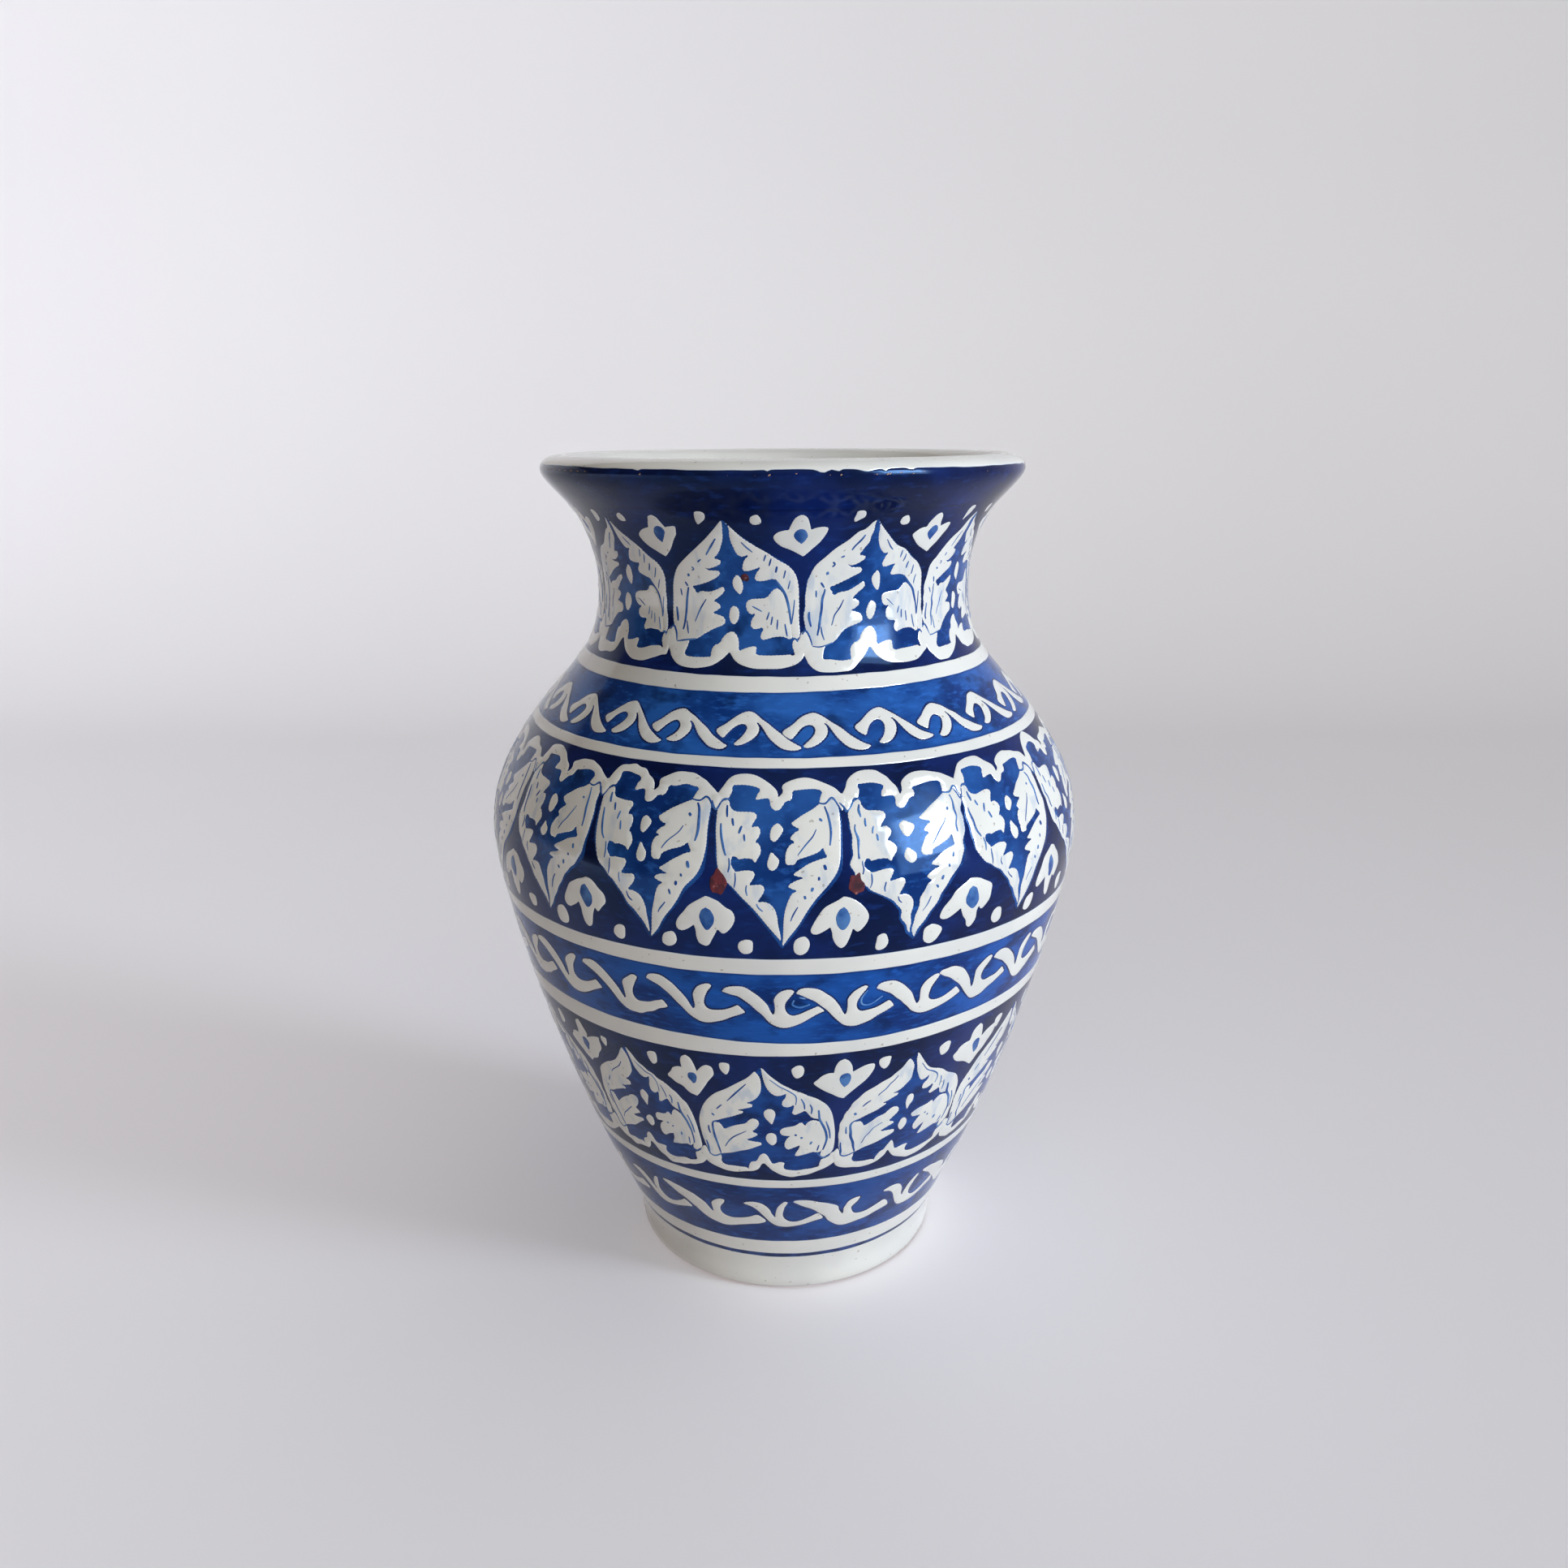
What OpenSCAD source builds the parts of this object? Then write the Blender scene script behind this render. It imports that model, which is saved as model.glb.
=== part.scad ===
// Banded talavera vase
//
// A wheel-thrown earthenware vase with a full belly, a narrow neck and a rolled
// lip. The clay is built in sections on a turned foot ring, and fired glaze covers
// it in bands: painted friezes and braids with a white line between each two.
// Millimetres. Origin: centre of the foot on the table. +Z is the vase's axis.

/* [Size] */
// Height from the table to the top of the lip
height = 300; // [260:1:340]
// Outside radius of the belly where it is widest
belly_radius = 107.5; // [98:0.5:118]
// Outside radius of the neck where it is narrowest
neck_radius = 66; // [60:0.5:72]
// Outside radius of the lip
lip_radius = 84.5; // [80:0.5:94]
// Outside radius of the foot
foot_radius = 59; // [54:0.5:64]

/* [Clay] */
// Thickness of the thrown wall, with its glaze
wall = 7; // [5:0.5:9]
// Height of the floor inside the vase
floor_height = 14; // [12:0.5:18]
// Depth of the hollow turned out under the floor
recess_depth = 5; // [3:0.5:7]
// Width of the flat ring that stands on the table
ring_width = 9.5; // [6:0.5:12]

/* [Glaze] */
// Thickness of the fired glaze and paint
glaze = 0.4; // [0.3:0.05:0.8]
// Show one part, or all of them

/* [Hidden] */

clay = [0.72, 0.52, 0.40];
white = [0.93, 0.93, 0.90];
grey_white = [0.80, 0.79, 0.75];
navy = [0.04, 0.06, 0.30];
blue = [0.12, 0.26, 0.62];

$fn = 180;
steps = 4;                 // straight pieces between two profile points
rise = height / 300;       // heights below are those of a vase 300 mm tall

// Bottom and top of each white line and of the stripe, from the neck to the foot
shoulder_line_z = [229.8, 234] * rise;
upper_belly_line_z = [209.6, 212.4] * rise;
lower_belly_line_z = [148.8, 153.7] * rise;
upper_base_line_z = [117, 121.8] * rise;
lower_base_line_z = [55.8, 60] * rise;
foot_line_z = [17.8, 24.4] * rise;
foot_stripe_z = [16, 17.8] * rise;
// Height at which the plain band under the lip begins
rim_band_z = 285 * rise;
// Heights at which one clay section is joined to the next
ring_joint_z = floor_height - glaze;
lower_joint_z = 88 * rise;
belly_joint_z = 168 * rise;
shoulder_joint_z = 222 * rise;
neck_joint_z = 284 * rise;

// ---- Profile ----

function mix(a, b, share) = a + (b - a) * share;

// Profile points between two radii, from a list of [height, share of the way]
function between(r0, r1, list) = [for (p = list) [mix(r0, r1, p[1]), p[0] * rise]];

foot_edge = [[foot_radius - 3.5, 0], [foot_radius - 1, 1], [foot_radius, 4],
    [foot_radius, 9]];
lower_side = between(foot_radius, belly_radius, [[15, 0.03], [24, 0.105], [35, 0.2],
    [47, 0.31], [61, 0.42], [77, 0.535], [95, 0.655], [113, 0.765], [130, 0.855],
    [145, 0.925], [158, 0.975], [170, 1]]);
upper_side = between(belly_radius, neck_radius, [[181, 0.03], [191, 0.115],
    [201, 0.245], [211, 0.415], [220, 0.6], [229, 0.785], [238, 0.925], [248, 0.99],
    [257, 1]]);
flare = between(neck_radius, lip_radius, [[266, 0.05], [275, 0.205], [282.5, 0.445],
    [288.5, 0.74], [293, 0.945]]);
outside = concat(foot_edge, lower_side, upper_side, flare);

// Over the lip: its outer edge, its crest and the start of the inside
lip = [[lip_radius, height - 4], [lip_radius - 2.2, height - 1.4],
    [lip_radius - 7.5, height], [lip_radius - 12.3, height - 1.8],
    [lip_radius - 15.5, height - 7]];

// Direction square to the outside at one of its points
function square_to(i) = let (d = outside[i + 1] - outside[i - 1]) [d[1], -d[0]] / norm(d);

// The inside follows the outside one wall thickness in, from the flare to the floor
top_twin = len(outside) - 4;
low_twin = len(foot_edge) + 1;
inner_side = [for (i = [top_twin:-1:low_twin]) outside[i] - wall * square_to(i)];
cove = [[foot_radius - 5, floor_height + 5], [foot_radius - 9.5, floor_height + 1.3],
    [foot_radius - 14, floor_height + 0.1], [foot_radius - 18, floor_height]];

outline = concat(outside, lip, inner_side, cove);
lip_edge = len(outside);
lip_end = len(outside) + len(lip) - 1;
floor_edge = len(outline) - 1;

// Point on the smooth curve through the outline's points, u counting the points
function curve(u) =
    let (i = min(floor(u), floor_edge - 1), t = u - i,
        a = outline[max(i - 1, 0)], b = outline[i],
        c = outline[i + 1], d = outline[min(i + 2, floor_edge)])
    b + ((c - a) * t + (2 * a - 5 * b + 4 * c - d) * t * t
        + (3 * b - a - 3 * c + d) * t * t * t) / 2;

// The same point moved into the clay by a depth
function under(u, depth) =
    let (e = 0.001, d = curve(min(u + e, floor_edge)) - curve(max(u - e, 0)))
    curve(u) - depth * [d[1], -d[0]] / norm(d);

// Where the outside reaches a height, found by halving
function reach(z, lo = 0, hi = lip_edge, n = 30) =
    n == 0 ? lo
    : let (mid = (lo + hi) / 2)
        curve(mid)[1] < z ? reach(z, mid, hi, n - 1) : reach(z, lo, mid, n - 1);

// Place on the inside that faces a place on the outside through the wall
function facing(u) = lip_end + 1 + top_twin - u;

// Points along the outline between two places, at a depth under the surface
function along(u0, u1, depth) = concat([under(u0, depth)],
    [for (k = [floor(u0 * steps) + 1:ceil(u1 * steps) - 1]) under(k / steps, depth)],
    [under(u1, depth)]);

function reversed(list) = [for (i = [len(list) - 1:-1:0]) list[i]];

// ---- Building blocks ----

// Layer of glaze over the outline between two places
module layer(u0, u1) {
    rotate_extrude() polygon(concat(along(u0, u1, 0), reversed(along(u0, u1, glaze))));
}

// Layer of glaze round the outside between two heights
module band(z) {
    layer(reach(z[0]), reach(z[1]));
}

// Section of clay wall between two places on the outside
module section(u0, u1) {
    rotate_extrude() polygon(concat(along(u0, u1, glaze),
        along(facing(u1), facing(u0), glaze)));
}

// ---- Clay ----

floor_radius = outline[floor_edge][0];
clay_floor = under(floor_edge, glaze);
ring_inner_radius = foot_radius - 3.5 - ring_width;

module foot_ring() {
    color(clay) rotate_extrude() polygon(concat([[ring_inner_radius, 0]],
        [[foot_radius - 3.5 - glaze, 0]], along(1, reach(ring_joint_z), glaze),
        [clay_floor, [clay_floor[0], recess_depth], [ring_inner_radius, recess_depth]]));
}

module floor_slab() {
    color(clay) rotate_extrude() polygon([[0, recess_depth],
        [clay_floor[0], recess_depth], clay_floor, [0, clay_floor[1]]]);
}

module lower_wall() {
    color(clay) rotate_extrude() polygon(concat(
        along(reach(ring_joint_z), reach(lower_joint_z), glaze),
        along(facing(reach(lower_joint_z)), floor_edge, glaze)));
}

module belly_wall() {
    color(clay) section(reach(lower_joint_z), reach(belly_joint_z));
}

module shoulder_wall() {
    color(clay) section(reach(belly_joint_z), reach(shoulder_joint_z));
}

module neck_wall() {
    color(clay) rotate_extrude() polygon(concat(
        along(reach(shoulder_joint_z), reach(neck_joint_z), glaze),
        along(lip_end, facing(reach(shoulder_joint_z)), glaze)));
}

module lip_roll() {
    color(clay) rotate_extrude() polygon(along(reach(neck_joint_z), lip_end, glaze));
}

// ---- Glaze and paint ----

module inside_glaze() {
    color(grey_white) rotate_extrude() polygon(concat(along(lip_end, floor_edge, 0),
        [[0, floor_height], [0, clay_floor[1]]],
        reversed(along(lip_end, floor_edge, glaze))));
}

module lip_glaze() {
    color(white) layer(lip_edge + 0.4, lip_end);
}

module rim_band() {
    color(navy) layer(reach(rim_band_z), lip_edge + 0.4);
}

module neck_band() {
    color(navy) band([shoulder_line_z[1], rim_band_z]);
}

module shoulder_line() {
    color(white) band(shoulder_line_z);
}

module shoulder_braid() {
    color(blue) band([upper_belly_line_z[1], shoulder_line_z[0]]);
}

module upper_belly_line() {
    color(white) band(upper_belly_line_z);
}

module belly_band() {
    color(navy) band([lower_belly_line_z[1], upper_belly_line_z[0]]);
}

module lower_belly_line() {
    color(white) band(lower_belly_line_z);
}

module waist_braid() {
    color(blue) band([upper_base_line_z[1], lower_belly_line_z[0]]);
}

module upper_base_line() {
    color(white) band(upper_base_line_z);
}

module base_band() {
    color(navy) band([lower_base_line_z[1], upper_base_line_z[0]]);
}

module lower_base_line() {
    color(white) band(lower_base_line_z);
}

module foot_braid() {
    color(blue) band([foot_line_z[1], lower_base_line_z[0]]);
}

module foot_line() {
    color(white) band(foot_line_z);
}

module foot_stripe() {
    color(blue) band(foot_stripe_z);
}

module foot_glaze() {
    color(white) layer(1, reach(foot_stripe_z[0]));
}

// ---- Assembly ----

foot_ring();
floor_slab();
lower_wall();
belly_wall();
shoulder_wall();
neck_wall();
lip_roll();
inside_glaze();
lip_glaze();
rim_band();
neck_band();
shoulder_line();
shoulder_braid();
upper_belly_line();
belly_band();
lower_belly_line();
waist_braid();
upper_base_line();
base_band();
lower_base_line();
foot_braid();
foot_line();
foot_stripe();
foot_glaze();
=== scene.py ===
"""Looks of the banded talavera vase: glaze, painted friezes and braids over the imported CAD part."""
import math
import random

import bpy
import numpy as np
from mathutils import Matrix, Vector
from mathutils.geometry import delaunay_2d_cdt


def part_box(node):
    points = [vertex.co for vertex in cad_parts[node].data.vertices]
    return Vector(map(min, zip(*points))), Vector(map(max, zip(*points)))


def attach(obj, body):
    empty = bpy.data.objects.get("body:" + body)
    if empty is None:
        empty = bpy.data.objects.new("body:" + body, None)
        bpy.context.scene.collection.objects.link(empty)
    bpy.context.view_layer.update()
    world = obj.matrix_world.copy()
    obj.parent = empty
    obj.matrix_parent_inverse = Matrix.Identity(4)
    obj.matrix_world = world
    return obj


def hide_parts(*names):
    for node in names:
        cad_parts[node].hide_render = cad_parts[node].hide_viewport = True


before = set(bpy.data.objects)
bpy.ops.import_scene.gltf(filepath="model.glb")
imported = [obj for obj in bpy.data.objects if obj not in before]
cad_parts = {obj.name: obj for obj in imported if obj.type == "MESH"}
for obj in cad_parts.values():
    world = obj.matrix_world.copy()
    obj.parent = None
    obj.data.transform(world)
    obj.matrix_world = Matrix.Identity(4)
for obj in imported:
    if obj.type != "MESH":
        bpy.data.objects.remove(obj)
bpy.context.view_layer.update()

MM = 0.001
TURN = 2 * math.pi
AROUND = 480          # steps round the vase
COAT = 0.4            # mm of glaze in the CAD part
GLAZE = 0.3           # mm that a layer of glaze reaches into the clay side
SINK = 0.06           # mm that a painted piece is sunk into the layer below it
SAME = 0.2            # mm within which two CAD points count as one
BANDS = ["foot_glaze", "foot_stripe", "foot_line", "foot_braid", "lower_base_line",
         "base_band", "upper_base_line", "waist_braid", "lower_belly_line", "belly_band",
         "upper_belly_line", "shoulder_braid", "shoulder_line", "neck_band", "rim_band"]


# ---------- The surface of the vase, read from the CAD part ----------

def profile_points(node):
    """Every (radius, height) in mm at which the node has vertices."""
    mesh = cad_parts[node].data
    flat = np.empty(len(mesh.vertices) * 3)
    mesh.vertices.foreach_get("co", flat)
    xyz = flat.reshape(-1, 3) / MM
    pairs = np.stack([np.hypot(xyz[:, 0], xyz[:, 1]), xyz[:, 2]], 1)
    return np.unique(np.round(pairs, 2), axis=0)


def open_side(node, outward):
    """The points of a thin layer that lie on its open side.

    outward(p, q) says whether p is further out than q."""
    points = profile_points(node)
    found = []
    for p in points:
        off = np.abs(np.hypot(*(points - p).T) - COAT)
        if off.min() < 0.05 and outward(p, points[off.argmin()]):
            found.append(p)
    return np.array(found)


def further_from_axis(p, q):
    return p[0] > q[0]


def into_the_hollow(p, q):
    return (q[0] - p[0]) + 0.1 * (p[1] - q[1]) > 0


class Surface:
    """The glazed outline from the foot, up the outside, over the lip and down to the floor,
    as radius and height against the distance along it, all in mm."""

    def __init__(self):
        sides = [open_side(node, further_from_axis) for node in BANDS]
        lip_middle = np.mean([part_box("lip_roll")[0][2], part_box("lip_roll")[1][2]]) / MM
        lip_points = profile_points("lip_glaze")
        lip_centre = np.array([lip_points[:, 0].mean(), lip_middle])

        def off_the_lip(p, q):
            return np.hypot(*(p - lip_centre)) > np.hypot(*(q - lip_centre))

        sides.append(open_side("lip_glaze", off_the_lip))
        sides.append(open_side("inside_glaze", into_the_hollow))
        left = np.unique(np.round(np.concatenate(sides), 1), axis=0)
        chain = [left[np.lexsort((-left[:, 0], left[:, 1]))[0]]]
        left = np.array([p for p in left if np.hypot(*(p - chain[0])) > SAME])
        while len(left):
            gap = np.hypot(*(left - chain[-1]).T)
            chain.append(left[gap.argmin()])
            left = left[np.hypot(*(left - chain[-1]).T) > SAME]
        chain = np.array(chain)
        s = np.concatenate([[0], np.cumsum(np.hypot(*np.diff(chain, axis=0).T))])
        step, blur, half = 0.25, 1.4, 20      # mm, mm and steps
        self.s = np.arange(0, s[-1], step)
        line = np.stack([np.interp(self.s, s, chain[:, k]) for k in (0, 1)], 1)
        # Rounds off the flats between CAD points
        reach = np.arange(-half, half + 1)
        bell = np.exp(-0.5 * (reach * step / blur) ** 2)
        bell /= bell.sum()
        ends = np.concatenate([2 * line[0] - line[half:0:-1], line,
                               2 * line[-1] - line[-2:-half - 2:-1]])
        self.p = np.stack([np.convolve(ends[:, k], bell, "valid") for k in (0, 1)], 1)
        d = np.gradient(self.p, axis=0)
        self.n = np.stack([d[:, 1], -d[:, 0]], 1) / np.hypot(*d.T)[:, None]
        self.crest = int(self.p[:, 1].argmax())

    def along(self, height):
        """Distance along the outline at which the outside reaches a height."""
        up = self.p[:self.crest, 1]
        return np.interp(height, np.maximum.accumulate(up), self.s[:self.crest])

    def down_inside(self, height):
        """Distance along the outline at which the inside comes down to a height."""
        down = -self.p[self.crest:, 1]
        return np.interp(-height, np.maximum.accumulate(down), self.s[self.crest:])

    def radius(self, height):
        return float(np.interp(self.along(height), self.s, self.p[:, 0]))

    def place(self, angle, s, lift):
        """Points in metres at an angle from the front, a distance along the outline and a
        height over it."""
        r, z = (np.interp(s, self.s, self.p[:, k]) + lift * np.interp(s, self.s, self.n[:, k])
                for k in (0, 1))
        return np.stack([r * np.sin(angle), -r * np.cos(angle), z], -1) * MM


surface = Surface()


def height_limits(node):
    """Lowest and highest point of a band's open side, in mm."""
    z = open_side(node, further_from_axis)[:, 1]
    return float(z.min()), float(z.max())


# ---------- Meshes ----------

def new_object(name, verts, faces, material, node=None, marks=None):
    """A smooth piece that rides on the vase.

    marks is a value per vertex that the material reads as 'inner': 0 at a painted edge."""
    mesh = bpy.data.meshes.new(name)
    mesh.from_pydata([tuple(v) for v in verts], [], faces)
    mesh.validate()
    mesh.update()
    if marks is not None:
        layer = mesh.attributes.new("inner", "FLOAT", "POINT")
        layer.data.foreach_set("value", np.asarray(marks, dtype=np.float32))
    mesh.materials.append(material)
    mesh.shade_smooth()
    if marks is not None:
        # Keeps the side walls from bending the shading of the face
        at_rim = np.asarray(marks) < 1e-4
        ends = np.empty(len(mesh.edges) * 2, dtype=np.int32)
        mesh.edges.foreach_get("vertices", ends)
        sharp = mesh.attributes.new("sharp_edge", "BOOLEAN", "EDGE")
        sharp.data.foreach_set("value", at_rim[ends.reshape(-1, 2)].all(1))
    obj = bpy.data.objects.new(name, mesh)
    bpy.context.scene.collection.objects.link(obj)
    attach(obj, "root")
    if node:
        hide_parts(node)
    return obj


def wobble(seed, slow=0.25, fine=0.07):
    """Unsteady hand: a height in mm that changes gently with the angle, and closes on itself."""
    rng = random.Random(seed)
    waves = [(n, size * rng.uniform(0.5, 1.0), rng.uniform(0, TURN))
             for n, size in ((1, slow), (2, slow * 0.5), (5, slow * 0.3),
                             (13, fine), (29, fine * 0.7), (53, fine * 0.5))]
    return lambda angle: sum(size * np.sin(n * angle + turn) for n, size, turn in waves)


def layer(name, low, high, material, slot, node, lift=0.0, step=1.6, around=AROUND):
    """A closed ring of glaze between two edges, each a distance along the outline by angle."""
    rounding, mark_width = 0.45, 1.5      # mm from an edge
    angle = np.linspace(0, TURN, around, endpoint=False)
    lo, hi = low(angle), high(angle)
    span = float((hi - lo).mean())
    near = [d / span for d in (0, 0.12, 0.3, 0.6, 1.0) if d < span / 2.2]
    inner = max(2, round(span / step))
    rows = sorted(set(near + [1 - t for t in near] +
                      [near[-1] + (1 - 2 * near[-1]) * k / inner for k in range(1, inner)]))
    verts, marks = [], []
    for t in rows:
        from_edge = min(t, 1 - t) * span
        rise = lift * min(1.0, from_edge / rounding) ** 0.5
        verts.append(surface.place(angle, lo + (hi - lo) * t, rise))
        marks.append(np.full(around, min(1.0, from_edge / mark_width)))
    for t in np.linspace(1, 0, max(3, round(span / step / 1.5))):
        verts.append(surface.place(angle, lo + (hi - lo) * t, -GLAZE))
        marks.append(np.ones(around))
    count = len(verts)
    ring = np.arange(around)
    after = (ring + 1) % around
    faces = []
    for k in range(count):
        a, b = k * around, ((k + 1) % count) * around
        faces += np.stack([a + ring, a + after, b + after, b + ring], 1).tolist()
    new_object(name, np.concatenate(verts), faces, material, node, np.concatenate(marks))


# ---------- Drawing: outlines in mm round the vase and up it ----------

def smooth_run(points, step):
    """Points every step or so along a smooth open curve through the given ones."""
    p = np.asarray(points, float)
    ends = np.array([2 * p[0] - p[1], *p, 2 * p[-1] - p[-2]])
    out = []
    for a, b, c, d in zip(ends, ends[1:], ends[2:], ends[3:]):
        n = max(1, int(round(np.hypot(*(c - b)) / step)))
        t = (np.arange(n) / n)[:, None]
        out.append(b + ((c - a) * t + (2 * a - 5 * b + 4 * c - d) * t ** 2
                        + (3 * b - a - 3 * c + d) * t ** 3) / 2)
    return np.concatenate(out + [p[-1:]])


def closed_curve(points, step=0.55):
    """Closed outline through the points. A point with a third value is a sharp corner."""
    corners = [k for k, p in enumerate(points) if len(p) > 2]
    xy = [p[:2] for p in points]
    n = len(xy)
    if not corners:
        padded = [xy[-1]] + xy + xy[:2]
        run = smooth_run(padded, step)
        start = np.hypot(*(run - np.array(xy[0])).T).argmin()
        end = len(run) - 1 - np.hypot(*(run[::-1] - np.array(xy[0])).T).argmin()
        return run[start:end]
    out = []
    for a, b in zip(corners, corners[1:] + [corners[0] + n]):
        run = smooth_run([xy[k % n] for k in range(a, b + 1)], step)
        out.append(run[:-1])
    return np.concatenate(out)


def stroke(points, width, step=0.5):
    """Outline of one touch of the brush along the points, thin at both ends."""
    line = smooth_run(points, step)
    n = max(len(line), 5)
    s = np.linspace(0, len(line) - 1, n)
    line = np.stack([np.interp(s, range(len(line)), line[:, k]) for k in (0, 1)], 1)
    d = np.gradient(line, axis=0)
    side = np.stack([-d[:, 1], d[:, 0]], 1) / np.maximum(np.hypot(*d.T), 1e-6)[:, None]
    t = np.linspace(0, 1, n)
    half = width / 2 * (0.25 + 0.75 * np.sin(math.pi * (0.12 + 0.76 * t)) ** 0.7)
    return np.concatenate([line + side * half[:, None], (line - side * half[:, None])[::-1]])


def signed_area(p):
    """Area of a closed outline, positive where it runs anticlockwise."""
    return float(np.sum(p[:, 0] * np.roll(p[:, 1], -1) - np.roll(p[:, 0], -1) * p[:, 1])) / 2


def distance_to(points, outline):
    """Distance from each point to a closed outline."""
    a, b = outline, np.roll(outline, -1, axis=0)
    ab = b - a
    length = np.maximum((ab ** 2).sum(1), 1e-9)
    t = np.clip(((points[:, None] - a) * ab).sum(2) / length, 0, 1)
    return np.sqrt((((a + t[..., None] * ab) - points[:, None]) ** 2).sum(2)).min(1)


def inside(points, outline):
    """Whether each point lies inside a closed outline."""
    a, b = outline, np.roll(outline, -1, axis=0)
    x, y = points[:, 0][:, None], points[:, 1][:, None]
    crosses = (a[:, 1] > y) != (b[:, 1] > y)
    rise = np.where(b[:, 1] == a[:, 1], 1e-9, b[:, 1] - a[:, 1])
    return (crosses & (x < a[:, 0] + (y - a[:, 1]) * (b[:, 0] - a[:, 0]) / rise)).sum(1) % 2 == 1


def grown(outline, by):
    """The outline moved out by a distance, or in if it is negative."""
    turn = 1 if signed_area(outline) > 0 else -1
    d = np.roll(outline, -1, axis=0) - np.roll(outline, 1, axis=0)
    d /= np.maximum(np.hypot(*d.T), 1e-6)[:, None]
    moved = outline + turn * by * np.stack([d[:, 1], -d[:, 0]], 1)
    # Points that have come too near another stretch of the outline are left out
    return moved[distance_to(moved, outline) > abs(by) * 0.93]


class Patch:
    """One painted shape as a thin closed relief: triangles worked out once, placed many times.

    edge is how far from its outline the relief reaches its full lift, and grid the spacing of
    the points inside, all in mm."""

    def __init__(self, outline, lift, edge=0.4, grid=2.4):
        if signed_area(outline) < 0:
            outline = outline[::-1]
        rim = list(range(len(outline)))
        lo, hi = outline.min(0), outline.max(0)
        middle = [(x, y) for x in np.arange(lo[0], hi[0], grid)
                  for y in np.arange(lo[1], hi[1], grid)]
        extra = [grown(outline, -edge), grown(outline, -edge * 0.4)[::2],
                 np.array(middle or [outline.mean(0)])]
        kept = []
        for pts, clear in zip(extra, (edge * 0.8, edge * 0.3, edge * 2)):
            pts = pts[inside(pts, outline)]
            kept.append(pts[distance_to(pts, outline) > clear] if len(pts) else pts)
        top = self.triangles(np.concatenate([outline] + kept), rim)
        under = self.triangles(np.concatenate([outline, kept[2]]), rim)
        gap = distance_to(top[0], outline)
        self.xy = np.concatenate([top[0], under[0]])
        self.lift = np.concatenate([lift * np.clip(gap / edge, 0, 1) ** 0.6 - SINK * (gap < 1e-4),
                                    np.full(len(under[0]), -SINK * 1.8)])
        self.marks = np.concatenate([np.clip(gap / 1.2, 0, 1), np.ones(len(under[0]))])
        shift = len(top[0])
        self.faces = top[1] + [[c + shift for c in reversed(f)] for f in under[1]]
        for a, b in zip(rim, rim[1:] + rim[:1]):
            ta, tb = top[2][a], top[2][b]
            ua, ub = under[2][a] + shift, under[2][b] + shift
            if ta != tb and ua != ub:
                self.faces.append([tb, ta, ua, ub])

    @staticmethod
    def triangles(points, rim):
        """(points, triangles, where each rim point went) of the area inside the rim."""
        loop = list(zip(rim, rim[1:] + rim[:1]))
        found = delaunay_2d_cdt([Vector(p) for p in points], loop, [], 0, 1e-4, True)
        verts = np.array([tuple(v) for v in found[0]])
        went = {}
        for new, old in enumerate(found[3]):
            for k in old:
                went.setdefault(k, new)
        faces = np.array([list(f) for f in found[2]])
        faces = faces[inside(verts[faces].mean(1), points[rim])]
        return verts, faces.tolist(), went


class Paint:
    """All the shapes of one colour and kind in one band, gathered into one object."""

    def __init__(self, name, material, slot):
        self.name, self.material, self.slot = name, material, slot
        self.verts, self.faces, self.marks, self.count = [], [], [], 0

    def add(self, patch, to_surface, over=0.0):
        """to_surface turns the patch's mm into (angle, distance along the outline)."""
        angle, s = to_surface(patch.xy)
        self.verts.append(surface.place(angle, s, patch.lift + over))
        self.faces += [[c + self.count for c in f] for f in patch.faces]
        self.marks.append(patch.marks)
        self.count += len(patch.xy)

    def build(self):
        if self.count:
            new_object(self.name, np.concatenate(self.verts), self.faces, self.material,
                       marks=np.concatenate(self.marks))


# ---------- Designs ----------
#
# Points are (degrees from the front, height in mm). A third value marks a sharp corner.
# A frieze: cell, from and to what angle its motif is drawn; edges, where the motifs of the front
# begin; count, motifs all round; the painted shapes; veins, each with its width in mm.
# A braid: starts, where the strands of the front are; count; strands, one outline or two that
# alternate; rings, each with the strand that it belongs to and its width in mm.

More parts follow.
